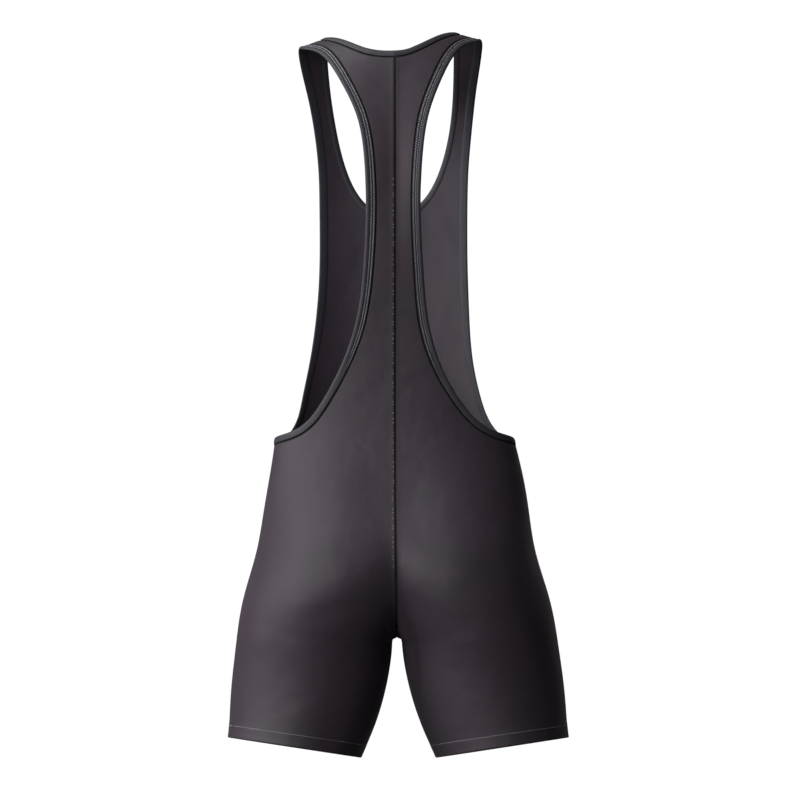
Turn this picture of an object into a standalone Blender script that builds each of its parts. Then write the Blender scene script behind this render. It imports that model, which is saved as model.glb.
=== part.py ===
"""A sleeveless racerback bodysuit of smooth stretch cloth, held out as it is worn, with no wearer in it.

Metres, +Z up. The wearer would face -Y, so the back is at +Y and +X is the wearer's left.
The origin lies midway between the tops of the two shoulder straps.

The cloth lies on one half surface, mirrored for the other half. Two numbers name a place on it:
    s  0 at the side seam, +1 at the middle of the back, -1 at the middle of the front
    h  the height over the level of the shoulder blades, which runs on over the shoulder as an arc
"""

import bmesh
import bpy
import numpy as np

# Cloth, seams and bindings
WALL = 0.0013
HEM_WALL = 0.0026
HEM_DEPTH = 0.0157
SEAM_GAP = 0.0003
NECK_BINDING = 0.0074
ARM_BINDING = 0.0092
BINDING_PROUD = 0.0005
BINDING_GAP = 0.0004

# Levels of the figure
BLADES = -0.170
CROTCH = -0.701
HEM = -0.830
UNDERARM = -0.469

# The half sections of a general figure of medium size, from the hem up
FIGURE_COLUMNS = ("height", "outer", "back", "front", "square")
FIGURE = (
    (HEM, 0.1980, 0.083, 0.088, 2.00),
    (-0.765, 0.1945, 0.088, 0.094, 2.00),
    (-0.710, 0.1885, 0.098, 0.099, 2.05),
    (-0.655, 0.1790, 0.113, 0.103, 2.10),
    (-0.600, 0.1628, 0.112, 0.106, 2.15),
    (-0.555, 0.1553, 0.095, 0.108, 2.20),
    (-0.510, 0.1477, 0.075, 0.110, 2.25),
    (-0.470, 0.1400, 0.062, 0.111, 2.30),
    (-0.410, 0.1360, 0.058, 0.112, 2.30),
    (-0.330, 0.1450, 0.066, 0.116, 2.30),
    (-0.250, 0.1580, 0.080, 0.119, 2.30),
    (BLADES, 0.1680, 0.088, 0.121, 2.30),
)

# How the trunk parts into two legs: how far up, how fast, and how round the valley stays
PARTING_COLUMNS = ("rise", "shape", "softness")
PARTING_BACK = (0.190, 1.15, 0.16)
PARTING_FRONT = (0.130, 1.00, 0.60)
PARTING_EASE = 0.4

# The narrow back lies a little hollow along its middle seam
HOLLOW_DEPTH = 0.007
HOLLOW_HALF = 0.022
HOLLOW_HEIGHT = -0.155
HOLLOW_REACH = 0.075

# The legs stand apart, and their hems lie square to them
ARCH = 0.0055
ARCH_CURVE = 0.002
LEG_SPREAD = 1.58
LEG_SPREAD_POWER = 1.80
HEM_SLOPE = 0.151
HEM_BACK_LIFT = 0.090

# The shoulder: its ridge falls from the neck corner to the tip of the strap
RIDGE_TOP = 0.0030
RIDGE_FALL = 0.32
SHOULDER_ARC = 0.210
NECK_CORNER = 0.075
STRAP_TIP = 0.107

# The neckline, behind and in front
NAPE = -0.0185
NAPE_CURVE = 2.6
NECK_FRONT = -0.200
SCOOP_ACROSS = 0.80
SCOOP_DOWN = 0.90

# The armhole's edge from the shoulder down the back: height, half width
ARMHOLE_BACK = (
    (-0.0083, 0.1055),
    (-0.0108, 0.0975),
    (-0.0160, 0.0850),
    (-0.0257, 0.0749),
    (-0.0515, 0.0597),
    (-0.0936, 0.0421),
    (-0.1357, 0.0345),
    (-0.1919, 0.0316),
    (-0.2761, 0.0351),
    (-0.3323, 0.0421),
    (-0.3884, 0.0603),
    (-0.4306, 0.0848),
    (-0.4586, 0.1164),
)

# Its edge under the arm: height, angle round from the side seam
ARMHOLE_UNDER = (
    (UNDERARM, 0.0),
    (-0.4745, -12.0),
    (-0.4680, -24.0),
    (-0.4500, -35.0),
)

# Its edge up the front: height, half width
ARMHOLE_FRONT = (
    (-0.4200, 0.1060),
    (-0.3750, 0.0970),
    (-0.3150, 0.0910),
    (-0.2500, 0.0885),
    (-0.1800, 0.0890),
    (-0.1100, 0.0935),
    (-0.0600, 0.1005),
    (-0.0280, 0.1065),
    (-0.0090, 0.1082),
)

# The stance: the right shoulder is held a little higher, and the seam and edges lie off the middle
SHOULDER_TILT = -0.041
TILT_FROM = -0.42
TILT_TO = -0.05
STANCE_HALF = 0.028
STANCE_COLUMNS = ("height", "seam_shift", "edge_shift")
STANCE = (
    (HEM, -0.0035, -0.0035),
    (-0.700, -0.0018, -0.0018),
    (-0.580, -0.0007, -0.0007),
    (-0.485, 0.0000, 0.0000),
    (-0.430, 0.0000, 0.0042),
    (-0.310, 0.0000, 0.0030),
    (-0.190, 0.0000, 0.0025),
    (-0.090, 0.0000, 0.0030),
    (0.000, 0.0000, 0.0060),
)

# Grid of a half panel: a row of the loft is one line from the middle to the side
COLUMNS = 11
EDGE_SHARE = 0.006
LEG_ROWS = 9
SEAT_ROWS = 11
ROUTE_SAMPLES = 601

# For each face: the armhole's height beside the neckline's middle, the rows below it and above it
STRETCHES = {1: (-0.060, 23, 9), -1: (-0.215, 14, 15)}
MIRROR = np.array([-1.0, 1.0, 1.0])
OVER_RIDGE = np.array([1.0, -1.0, 1.0])
MERGE = 1e-6

# Where chosen rows meet the middle and the side
ARCH_ROW = 0.0025
CROTCH_SIDE = -0.672
UNDERARM_MIDDLE = -0.560

# The binding's section: across it, and out from the middle of the wall
STRIP_SECTION = (
    (0.00, 0.0),
    (0.12, 0.9),
    (0.50, 1.0),
    (0.88, 0.9),
    (1.00, 0.0),
    (0.88, -0.9),
    (0.50, -1.0),
    (0.12, -0.9),
)

CHARCOAL = (0.060, 0.052, 0.060)
BINDING_GREY = (0.072, 0.072, 0.082)
CLOTH_ROUGHNESS = 0.50
BINDING_ROUGHNESS = 0.60


def spline(knots, values, at):
    """A natural cubic curve through the values, level at its top end."""
    knots, values, at = np.asarray(knots), np.asarray(values), np.asarray(at, float)
    step = np.diff(knots)
    slope = np.diff(values) / step
    count = len(knots)
    matrix = np.eye(count)
    right = np.zeros(count)
    for i in range(1, count - 1):
        matrix[i, i - 1 : i + 2] = step[i - 1], 2 * (step[i - 1] + step[i]), step[i]
        right[i] = 6 * (slope[i] - slope[i - 1])
    matrix[-1, -2:] = step[-1], 2 * step[-1]
    right[-1] = -6 * slope[-1]
    bend = np.linalg.solve(matrix, right)
    i = np.clip(np.searchsorted(knots, at) - 1, 0, count - 2)
    low = (knots[i + 1] - at) / step[i]
    high = (at - knots[i]) / step[i]
    cubic = (low**3 - low) * bend[i] + (high**3 - high) * bend[i + 1]
    return low * values[i] + high * values[i + 1] + cubic * step[i] ** 2 / 6


def read(table, columns, name, height):
    """One named column of a table whose first column is the height, read at any height."""
    table = np.array(table)
    return spline(table[:, 0], table[:, columns.index(name)], height)


def parting(name, is_back):
    which = PARTING_COLUMNS.index(name)
    return np.where(is_back, PARTING_BACK[which], PARTING_FRONT[which])


def signed_power(value, power):
    return np.sign(value) * np.abs(value) ** power


def smooth_step(value):
    value = np.clip(value, 0, 1)
    return value * value * (3 - 2 * value)


def section(height, is_back):
    """Centre, half width, depth, squareness and seam angle of the half section at a height."""
    outer, back, front, square = (read(FIGURE, FIGURE_COLUMNS, name, height) for name in FIGURE_COLUMNS[1:])
    depth = np.where(is_back, back, front)
    part = np.clip(1 - (height - CROTCH) / parting("rise", is_back), 0, 1) ** parting("shape", is_back)
    part = part * smooth_step(part / PARTING_EASE)
    drop = np.maximum(CROTCH - height, 0)
    arch = ARCH * (1 - np.exp(-drop / ARCH_CURVE))
    inner = arch + LEG_SPREAD * drop**LEG_SPREAD_POWER
    centre = np.where(drop > 0, (outer + inner) / 2, outer * part / (1 + part))
    half = outer - centre
    share = np.clip((centre - SEAM_GAP / 2) / half, -1, 1)
    seam = np.arccos(-signed_power(share, square / 2))
    return centre, half, depth, square, seam, part


def ring_point(s, height):
    """The half section's point at s: a superellipse, with the valley at its middle made round."""
    is_back = s >= 0
    centre, half, depth, square, seam, part = section(height, is_back)
    angle = np.abs(s) * seam
    part = np.clip(part, 0, 1)
    softness = parting("softness", is_back) * np.sqrt((1 - part) * part)
    rest = seam - angle
    turned = angle - (np.sqrt(rest**2 + softness**2) - rest) * angle / seam
    x = centre + half * signed_power(np.cos(angle), 2 / square)
    y = np.sign(s) * depth * np.abs(np.sin(turned)) ** (2 / square)
    lean = smooth_step((CROTCH - height) / (CROTCH - HEM))
    z = height + lean * (HEM_SLOPE * (x - centre) + HEM_BACK_LIFT * y)
    return np.stack([x, y, z], -1)


def ridge(x):
    return RIDGE_TOP - RIDGE_FALL * (np.abs(x) - NECK_CORNER)


def spine_hollow(x, z):
    """How far the cloth lies in at the middle of the narrow back."""
    along = np.exp(-(((z - HOLLOW_HEIGHT) / HOLLOW_REACH) ** 2))
    return HOLLOW_DEPTH * along / (1 + (x / HOLLOW_HALF) ** 2)


def half_surface(place):
    """Points on the wearer's left half for places (s, h): rings below the blades, arcs above."""
    s, h = place[..., 0], place[..., 1]
    over = h > SHOULDER_ARC
    s = np.where(over, -s, s)
    h = np.where(over, 2 * SHOULDER_ARC - h, h)
    low = ring_point(s, BLADES + np.minimum(h, 0))
    turn = np.clip(h / SHOULDER_ARC, 0, 1) * np.pi / 2
    top = ridge(low[..., 0])
    z = low[..., 2] + (top - BLADES) * np.sin(turn)
    y = low[..., 1] * np.cos(turn) - (s >= 0) * spine_hollow(low[..., 0], z)
    return np.stack([low[..., 0], y, z], -1)


def tangents(place, step=1e-5):
    """The surface's two directions, along s and along h."""
    along_s, along_h = np.array([step, 0]), np.array([0, step])
    first = half_surface(place + along_s) - half_surface(place - along_s)
    second = half_surface(place + along_h) - half_surface(place - along_h)
    return first / (2 * step), second / (2 * step)


def unit(vector):
    return vector / np.linalg.norm(vector, axis=-1, keepdims=True)


def normal(place):
    """The outward direction."""
    return unit(np.cross(*tangents(place)))


def moved(place, vector):
    """The place that lies a short way off along the cloth."""
    first, second = tangents(place)
    a, b, c = (first * first).sum(-1), (first * second).sum(-1), (second * second).sum(-1)
    p, q = (first * vector).sum(-1), (second * vector).sum(-1)
    size = a * c - b * b
    return place + np.stack([c * p - b * q, a * q - b * p], -1) / size[..., None]


def posed(points):
    """Tilts the shoulders, and moves the middle seam and the edges beside it as in the stance."""
    x, y, z = points[..., 0], points[..., 1], points[..., 2]
    seam, edges = (read(STANCE, STANCE_COLUMNS, name, z) for name in STANCE_COLUMNS[1:])
    shift = seam + (edges - seam) * np.clip(np.abs(x) / STANCE_HALF, 0, 1)
    lift = smooth_step((z - TILT_FROM) / (TILT_TO - TILT_FROM))
    return np.stack([x + shift, y, z + SHOULDER_TILT * x * lift], -1)


def face_place(half_width, height, face):
    """The place (s, h) of a point seen from straight behind (face 1) or before (face -1)."""
    half_width, height = np.broadcast_arrays(np.asarray(half_width, float), np.asarray(height, float))
    level = np.minimum(height, BLADES)
    centre, half, _, square, seam, _ = section(level, np.full(level.shape, face > 0))
    share = np.clip((half_width - centre) / half, -1, 1)
    s = face * np.arccos(signed_power(share, square / 2)) / seam
    rise = np.clip((height - BLADES) / (ridge(half_width) - BLADES), 0, 1)
    h = np.where(height > BLADES, np.arcsin(rise) * 2 / np.pi * SHOULDER_ARC, height - BLADES)
    return np.stack([s, h], -1)


def under_place(height, angle):
    """The place of a point at an angle round from the side seam."""
    seam = section(np.asarray(height, float), angle >= 0)[4]
    return np.array([np.radians(angle) / seam, height - BLADES])


def spread(places, count):
    """Samples of a route that lie the same distance apart on the cloth."""
    steps = np.linalg.norm(np.diff(half_surface(places), axis=0), axis=1)
    run = np.concatenate([[0], np.cumsum(steps)])
    wanted = np.linspace(0, run[-1], count)
    return np.rint(np.interp(wanted, run, np.arange(len(run)))).astype(int)


def evenly(places, count):
    return places[spread(places, count)]


def through(places, count):
    """A smooth route through a few places, by a cubic curve along their running length."""
    steps = np.linalg.norm(np.diff(half_surface(places), axis=0), axis=1)
    run = np.concatenate([[0], np.cumsum(steps)])
    wanted = np.linspace(0, run[-1], count)
    knots = np.append(run, 2 * run[-1] - run[-2])
    values = np.concatenate([places, 2 * places[-1:] - places[-2:-1]])
    return np.stack([spline(knots, values[:, i], wanted) for i in (0, 1)], -1)


def directions(points, before, after):
    """Unit directions along a route, given the points that come before and after it."""
    padded = np.concatenate([[before], points, [after]])
    return unit(padded[2:] - padded[:-2])


def inset(edge, distance, cloth_side):
    """An edge moved into the cloth, square to itself; an edge is its places and its directions."""
    places, along = edge
    return moved(places, distance * cloth_side * unit(np.cross(along, normal(places))))


def armhole_edge():
    """The armhole's edge from the shoulder ridge down the back, under the arm and up the front."""
    tip = ridge(STRAP_TIP)
    back = [face_place(STRAP_TIP, tip, 1)] + [face_place(half, height, 1) for height, half in ARMHOLE_BACK]
    under = [under_place(height, angle) for height, angle in ARMHOLE_UNDER]
    front = [face_place(half, height, -1) for height, half in ARMHOLE_FRONT] + [face_place(STRAP_TIP, tip, -1)]
    places = through(np.array(back + under + front), 2 * ROUTE_SAMPLES)
    points = half_surface(places)
    return places, directions(points, points[1] * OVER_RIDGE, points[-2] * OVER_RIDGE)


def armhole_stations(places, face):
    """Samples where a panel's rows meet the armhole, from the side up to the shoulder ridge."""
    split, trunk_rows, strap_rows = STRETCHES[face]
    side = int(np.argmin(np.abs(places[:, 0])))
    samples = np.arange(side, -1, -1) if face > 0 else np.arange(side, len(places))
    level = int(np.argmax(places[samples, 1] + BLADES > split))
    low = samples[: level + 1][spread(places[samples[: level + 1]], trunk_rows)]
    high = samples[level:][spread(places[samples[level:]], strap_rows)]
    return np.concatenate([low, high[1:]])


def neck_line(face):
    """The places of the neckline from the middle to the neck corner on one face."""
    share = np.linspace(0, 1, ROUTE_SAMPLES)
    if face > 0:
        half = NECK_CORNER * share
        height = NAPE + (ridge(NECK_CORNER) - NAPE) * np.sin(share * np.pi / 2) ** NAPE_CURVE
    else:
        turn = (1 - share) * np.pi / 2
        half = NECK_CORNER * np.cos(turn) ** SCOOP_ACROSS
        height = ridge(NECK_CORNER) - (ridge(NECK_CORNER) - NECK_FRONT) * np.sin(turn) ** SCOOP_DOWN
    return face_place(np.maximum(half, SEAM_GAP / 2), height, face)


def neck_edge(face):
    places = neck_line(face)
    points = half_surface(places)
    return places, directions(points, points[1] * MIRROR, points[-2] * OVER_RIDGE)


def off_side(height, face):
    """How far s lies from the side seam at half a gap."""
    _, _, depth, square, seam, _ = section(height, np.full(np.shape(height), face > 0))
    return (SEAM_GAP / 2 / depth) ** (square / 2) / seam


def clear_of_seams(places, face):
    """Keeps a route half a gap from the side seam and from the shoulder seam."""
    height = BLADES + np.minimum(places[:, 1], 0)
    s = face * np.maximum(face * places[:, 0], off_side(height, face))
    return np.stack([s, np.minimum(places[:, 1], SHOULDER_ARC - SEAM_GAP)], -1)


def side_route(face, low, high):
    """The side seam, half a gap off the middle of the side."""
    height = np.linspace(low, high, ROUTE_SAMPLES)
    return np.stack([face * off_side(height, face), height - BLADES], -1)


def middle_route(face, low, high):
    """The inseam, then the middle seam, from the hem up."""
    height = np.linspace(low, high, 2 * ROUTE_SAMPLES)
    off = np.where(height <= CROTCH, off_side(height, face), 0)
    return np.stack([face * (1 - off), height - BLADES], -1)


def join(*routes):
    """Routes end to end, each with its first place dropped where it repeats."""
    return np.concatenate([routes[0]] + [route[1:] for route in routes[1:]])


def half_grid(face):
    """The places of a half panel: rows from the hem to the shoulder, columns from middle to side."""
    _, trunk_rows, strap_rows = STRETCHES[face]
    edge = armhole_edge()
    armhole = inset(edge, ARM_BINDING + BINDING_GAP, -1)[armhole_stations(edge[0], face)]
    armhole = clear_of_seams(armhole, face)
    edge = neck_edge(face)
    neck = inset(edge, NECK_BINDING + BINDING_GAP, -face)[spread(edge[0], strap_rows)]
    neck[0, 0] = face
    neck = clear_of_seams(neck, face)
    turn = HEM + HEM_DEPTH
    middle = join(
        middle_route(face, HEM, turn)[[0, -1]],
        evenly(middle_route(face, turn, CROTCH - ARCH_ROW), LEG_ROWS),
        middle_route(face, CROTCH - ARCH_ROW, CROTCH)[[0, -1]],
        evenly(middle_route(face, CROTCH, UNDERARM_MIDDLE), SEAT_ROWS),
        evenly(middle_route(face, UNDERARM_MIDDLE, neck[0, 1] + BLADES), trunk_rows),
        neck,
    )
    side = join(
        side_route(face, HEM, turn)[[0, -1]],
        evenly(side_route(face, turn, CROTCH_SIDE), LEG_ROWS + 1),
        evenly(side_route(face, CROTCH_SIDE, armhole[0, 1] + BLADES), SEAT_ROWS),
        armhole,
    )
    inner = np.linspace(0, 1, COLUMNS + 1)[1:-1]
    share = np.concatenate([[0, EDGE_SHARE], inner, [1 - EDGE_SHARE, 1]])[None, :, None]
    return middle[:, None] * (1 - share) + side[:, None] * share


def grid_faces(rows, columns, flip):
    """Four-cornered faces of a grid of points, which split along the same diagonal when flipped."""
    first = np.arange(rows * columns).reshape(rows, columns)
    corners = [first[:-1, 1:], first[1:, 1:], first[1:, :-1], first[:-1, :-1]]
    faces = np.stack(corners, -1).reshape(-1, 4)
    return faces[:, [0, 3, 2, 1]] if flip else faces


def material(name, colour, roughness):
    made = bpy.data.materials.new(name)
    made.use_nodes = True
    shader = made.node_tree.nodes["Principled BSDF"]
    shader.inputs["Base Color"].default_value = (*colour, 1)
    shader.inputs["Roughness"].default_value = roughness
    shader.inputs["Metallic"].default_value = 0
    return made


def add_object(name, points, faces, finish, collection):
    mesh = bpy.data.meshes.new(name)
    mesh.from_pydata(points.tolist(), [], faces.tolist())
    mesh.validate()
    mesh.shade_smooth()
    mesh.materials.append(finish)
    made = bpy.data.objects.new(name, mesh)
    collection.objects.link(made)
    return made


def add_wall(made, hem_points):
    """Gives a panel its wall, twice as thick over the two rows where the hem is turned up."""
    group = made.vertex_groups.new(name="turned hem")
    group.add(hem_points, 1, "REPLACE")
    wall = made.modifiers.new("Wall", "SOLIDIFY")
    wall.thickness = HEM_WALL
    wall.offset = -1
    wall.vertex_group = group.name
    wall.thickness_vertex_group = WALL / HEM_WALL


def add_back_panel(side, finish, collection):
    """One half of the back: leg, seat and half of the narrow back, up to the shoulder seam."""
    places = half_grid(1)
    points = half_surface(places).reshape(-1, 3)
    points[:, 0] *= side
    rows, columns = places.shape[:2]
    name = "back_left" if side > 0 else "back_right"
    made = add_object(name, posed(points), grid_faces(rows, columns, side > 0), finish, collection)
    add_wall(made, list(range(2 * columns)))


def add_front_panel(finish, collection):
    """The front, in one piece from side seam to side seam, with both legs."""
    places = half_grid(-1)
    points = half_surface(places).reshape(-1, 3)
    rows, columns = places.shape[:2]
    is_middle = (np.arange(len(points)) % columns == 0) & (np.abs(points[:, 0]) < SEAM_GAP)
    points[is_middle & (places[..., 1].ravel() + BLADES > CROTCH - MERGE), 0] = 0
    both = np.concatenate([points, points * MIRROR])
    faces = np.concatenate([grid_faces(rows, columns, False), grid_faces(rows, columns, True) + len(points)])
    made = add_object("front", posed(both), faces, finish, collection)
    hem = np.arange(2 * columns)
    add_wall(made, np.concatenate([hem, hem + len(points)]).tolist())
    cloth = bmesh.new()
    cloth.from_mesh(made.data)
    bmesh.ops.remove_doubles(cloth, verts=cloth.verts, dist=MERGE)
    cloth.to_mesh(made.data)
    cloth.free()


def strip_rings(edge, stations, width, cloth_side):
    """The binding's section, carried along an edge: one ring of points for each station."""
    half = WALL / 2 + BINDING_PROUD
    points = []
    for across, out in STRIP_SECTION:
        line = inset(edge, width * across, cloth_side)[stations]
        points.append(half_surface(line) + (half * out - WALL / 2) * normal(line))
    return np.stack(points, 1)


def add_strip(name, rings, finish, collection):
    """A closed strip from rings of points that end where they began."""
    stations, corners = rings.shape[:2]
    index = np.arange(stations * corners).reshape(stations, corners)
    after = np.roll(index, -1, 0)
    faces = np.stack([index, np.roll(index, -1, 1), np.roll(after, -1, 1), after], -1).reshape(-1, 4)
    made = add_object(name, posed(rings.reshape(-1, 3)), faces, finish, collection)
    cloth = bmesh.new()
    cloth.from_mesh(made.data)
    bmesh.ops.recalc_face_normals(cloth, faces=cloth.faces)
    cloth.to_mesh(made.data)
    cloth.free()


def add_armhole_bindings(finish, collection):
    """A binding round each armhole, with its stations where the panels' rows end."""
    edge = armhole_edge()
    back, front = armhole_stations(edge[0], 1), armhole_stations(edge[0], -1)
    rings = strip_rings(edge, np.concatenate([back[::-1], front[1:-1]]), ARM_BINDING, -1)
    add_strip("armhole_binding_left", rings, finish, collection)
    add_strip("armhole_binding_right", rings * MIRROR, finish, collection)


def add_neck_binding(finish, collection):
    """The binding round the neck: behind and in front, on both halves."""
    halves = []
    for face in (1, -1):
        edge = neck_edge(face)
        rings = strip_rings(edge, spread(edge[0], STRETCHES[face][2]), NECK_BINDING, -face)
        rings[0, :, 0] = 0
        halves.append(rings)
    back, front = halves
    left = np.concatenate([back, front[-2::-1]])
    add_strip("neck_binding", np.concatenate([left, (left * MIRROR)[-2:0:-1]]), finish, collection)


def build():
    for old in list(bpy.data.objects):
        bpy.data.objects.remove(old)
    garment = bpy.data.collections.new("racerback bodysuit")
    bpy.context.scene.collection.children.link(garment)
    cloth = material("charcoal stretch cloth", CHARCOAL, CLOTH_ROUGHNESS)
    edging = material("binding cloth", BINDING_GREY, BINDING_ROUGHNESS)
    add_back_panel(1, cloth, garment)
    add_back_panel(-1, cloth, garment)
    add_front_panel(cloth, garment)
    add_neck_binding(edging, garment)
    add_armhole_bindings(edging, garment)


build()
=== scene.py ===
# %% [markdown]
# # A racerback bodysuit
#
# This lesson dresses the plain solids of a stretch bodysuit as real cloth: a smooth charcoal knit with
# bound edges, a seam down the middle of the back, turned hems and a few soft creases. The garment is
# hollow and keeps the form it has when it is worn. It faces -Y, so the back is at +Y, and the measures
# are metres.
#
# The solids come first, because every piece has to lie where they are.

import bpy
import numpy as np
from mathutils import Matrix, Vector


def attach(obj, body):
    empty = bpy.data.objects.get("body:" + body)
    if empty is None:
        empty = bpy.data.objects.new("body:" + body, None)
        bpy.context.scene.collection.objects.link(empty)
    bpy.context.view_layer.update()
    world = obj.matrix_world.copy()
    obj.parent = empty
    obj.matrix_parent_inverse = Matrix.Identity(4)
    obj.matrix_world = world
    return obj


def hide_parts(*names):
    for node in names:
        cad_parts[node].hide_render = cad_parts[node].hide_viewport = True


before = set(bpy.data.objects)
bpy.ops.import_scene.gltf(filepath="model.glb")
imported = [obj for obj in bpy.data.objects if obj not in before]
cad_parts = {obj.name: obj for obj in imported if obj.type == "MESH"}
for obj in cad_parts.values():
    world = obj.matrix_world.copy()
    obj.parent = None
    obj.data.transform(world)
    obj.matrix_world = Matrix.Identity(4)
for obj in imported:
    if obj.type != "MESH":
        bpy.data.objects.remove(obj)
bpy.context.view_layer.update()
print("solids:", sorted(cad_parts))

# %% [markdown]
# ## The figure that holds the cloth out
#
# A tight garment has the form of what it is worn on. A short table gives a general figure's half
# sections: at each height how far out the side is, how deep the back and the front are, and how square
# the outline is. A smooth curve runs through each column, so the form can be read at any height. A cubic
# spline is used because straight lines between the rows would show as bends in a shiny cloth.

# %% The figure's table and the curve through it
BLADES, CROTCH, HEM, UNDERARM = -0.170, -0.701, -0.830, -0.469
FIGURE_COLUMNS = ("height", "outer", "back", "front", "square")
FIGURE = (
    (HEM, 0.1980, 0.083, 0.088, 2.00),
    (-0.765, 0.1945, 0.088, 0.094, 2.00),
    (-0.710, 0.1885, 0.098, 0.099, 2.05),
    (-0.655, 0.1790, 0.113, 0.103, 2.10),
    (-0.600, 0.1628, 0.112, 0.106, 2.15),
    (-0.555, 0.1553, 0.095, 0.108, 2.20),
    (-0.510, 0.1477, 0.075, 0.110, 2.25),
    (-0.470, 0.1400, 0.062, 0.111, 2.30),
    (-0.410, 0.1360, 0.058, 0.112, 2.30),
    (-0.330, 0.1450, 0.066, 0.116, 2.30),
    (-0.250, 0.1580, 0.080, 0.119, 2.30),
    (BLADES, 0.1680, 0.088, 0.121, 2.30),
)


def spline(knots, values, at):
    """A cubic curve through the values, free at its lower end and level at its top.

    Its bends at the knots solve one small system of equations."""
    knots, values, at = np.asarray(knots), np.asarray(values), np.asarray(at, float)
    step = np.diff(knots)
    slope = np.diff(values) / step
    count = len(knots)
    matrix = np.eye(count)
    right = np.zeros(count)
    for i in range(1, count - 1):
        matrix[i, i - 1 : i + 2] = step[i - 1], 2 * (step[i - 1] + step[i]), step[i]
        right[i] = 6 * (slope[i] - slope[i - 1])
    matrix[-1, -2:] = step[-1], 2 * step[-1]
    right[-1] = -6 * slope[-1]
    bend = np.linalg.solve(matrix, right)
    i = np.clip(np.searchsorted(knots, at) - 1, 0, count - 2)
    low = (knots[i + 1] - at) / step[i]
    high = (at - knots[i]) / step[i]
    cubic = (low**3 - low) * bend[i] + (high**3 - high) * bend[i + 1]
    return low * values[i] + high * values[i + 1] + cubic * step[i] ** 2 / 6


def read(table, columns, name, height):
    """One named column of a table whose first column is the height, read at any height."""
    table = np.array(table)
    return spline(table[:, 0], table[:, columns.index(name)], height)


print("half width at the waist:", read(FIGURE, FIGURE_COLUMNS, "outer", -0.45).round(4))

# %% [markdown]
# ## Sections, and how the trunk parts into legs
#
# Each half section is a superellipse, which is an ellipse with a power other than 2, so that the chest
# can be squarer than the thigh. Towards the crotch its centre moves out from the middle, and the two
# halves part into two legs. The parting starts softly and its valley is rounded, as cloth bridges it.
# The numbers go into two fine tables, one exact and one smoothed over nearby heights, because stretched
# cloth bends softly everywhere but where the legs part.

# %% The half section at any height
BACK, FRONT = 1, -1
SEAM_GAP = 0.0001
PARTING_COLUMNS = ("rise", "shape", "softness")
PARTING_BACK = (0.190, 1.15, 0.16)
PARTING_FRONT = (0.130, 1.00, 0.60)
PARTING_EASE = 0.4
ARCH, ARCH_CURVE = 0.0055, 0.0011
LEG_SPREAD, LEG_SPREAD_POWER = 1.58, 1.80
HEM_SLOPE, HEM_BACK_LIFT = 0.151, 0.090
TABLE_HEIGHTS, SMOOTHING = np.arange(-0.880, -0.120, 0.00025), 0.010


def signed_power(value, power):
    """The size of a value to a power, with the value's own sign."""
    return np.sign(value) * np.abs(value) ** power


def smooth_step(value):
    """0 below 0 and 1 above 1, and between them three squares less two cubes."""
    value = np.clip(value, 0, 1)
    return value * value * (3 - 2 * value)


def parting(name, is_back):
    """One of the parting's numbers, for the back or for the front."""
    which = PARTING_COLUMNS.index(name)
    return np.where(is_back, PARTING_BACK[which], PARTING_FRONT[which])


def exact_section(height, is_back):
    """Centre, half width, depth, squareness and seam angle of the half section at a height.

    The centre is pushed out by the share of parting, and below the crotch it is midway between the
    outer line and an inner line that leaves the middle as a power of the drop."""
    names = FIGURE_COLUMNS[1:]
    outer, back, front, square = (read(FIGURE, FIGURE_COLUMNS, name, height) for name in names)
    depth = np.where(is_back, back, front)
    part = np.clip(1 - (height - CROTCH) / parting("rise", is_back), 0, 1) ** parting("shape", is_back)
    part = part * smooth_step(part / PARTING_EASE)
    drop = np.maximum(CROTCH - height, 0)
    arch = ARCH * (1 - np.exp(-drop / ARCH_CURVE))
    inner = arch + LEG_SPREAD * drop**LEG_SPREAD_POWER
    centre = np.where(drop > 0, (outer + inner) / 2, outer * part / (1 + part))
    half = outer - centre
    share = np.clip((centre - SEAM_GAP / 2) / half, -1, 1)
    seam = np.arccos(-signed_power(share, square / 2))
    return centre, half, depth, square, seam, part


def smoothed(row):
    """A row of the table averaged with bell weights over nearby heights."""
    step = TABLE_HEIGHTS[1] - TABLE_HEIGHTS[0]
    reach = np.arange(round(-3 * SMOOTHING / step), round(3 * SMOOTHING / step) + 1)
    weights = np.exp(-(((reach * step) / SMOOTHING) ** 2) / 2)
    return np.convolve(np.pad(row, len(reach) // 2, mode="edge"), weights / weights.sum(), "valid")


SHARP = [exact_section(TABLE_HEIGHTS, is_back) for is_back in (False, True)]
SOFT = [[smoothed(row) for row in rows] for rows in SHARP]


def section(height, is_back, tables=SHARP):
    """The half section's six numbers, read between the heights of a fine table made once."""
    front, back = ([np.interp(height, TABLE_HEIGHTS, row) for row in rows] for rows in tables)
    return [np.where(is_back, *pair) for pair in zip(back, front)]


print("half sections in each table:", len(TABLE_HEIGHTS))

# %% The rings
def ring_of(tables, s, height):
    """The half section's point at s: the superellipse at s times the seam's angle.

    The valley between the legs is made round, and on a leg the ring leans, so that the hem lies
    square to the leg."""
    is_back = s >= 0
    centre, half, depth, square, seam, part = section(height, is_back, tables)
    angle = np.abs(s) * seam
    part = np.clip(part, 0, 1)
    softness = parting("softness", is_back) * np.sqrt((1 - part) * part)
    rest = seam - angle
    turned = angle - (np.sqrt(rest**2 + softness**2) - rest) * angle / seam
    x = centre + half * signed_power(np.cos(angle), 2 / square)
    y = np.sign(s) * depth * np.abs(np.sin(turned)) ** (2 / square)
    lean = smooth_step((CROTCH - height) / (CROTCH - HEM))
    z = height + lean * (HEM_SLOPE * (x - centre) + HEM_BACK_LIFT * y)
    return np.stack([x, y, z], -1)


SHARP_FROM, SHARP_TO = 0.74, 0.97


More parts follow.
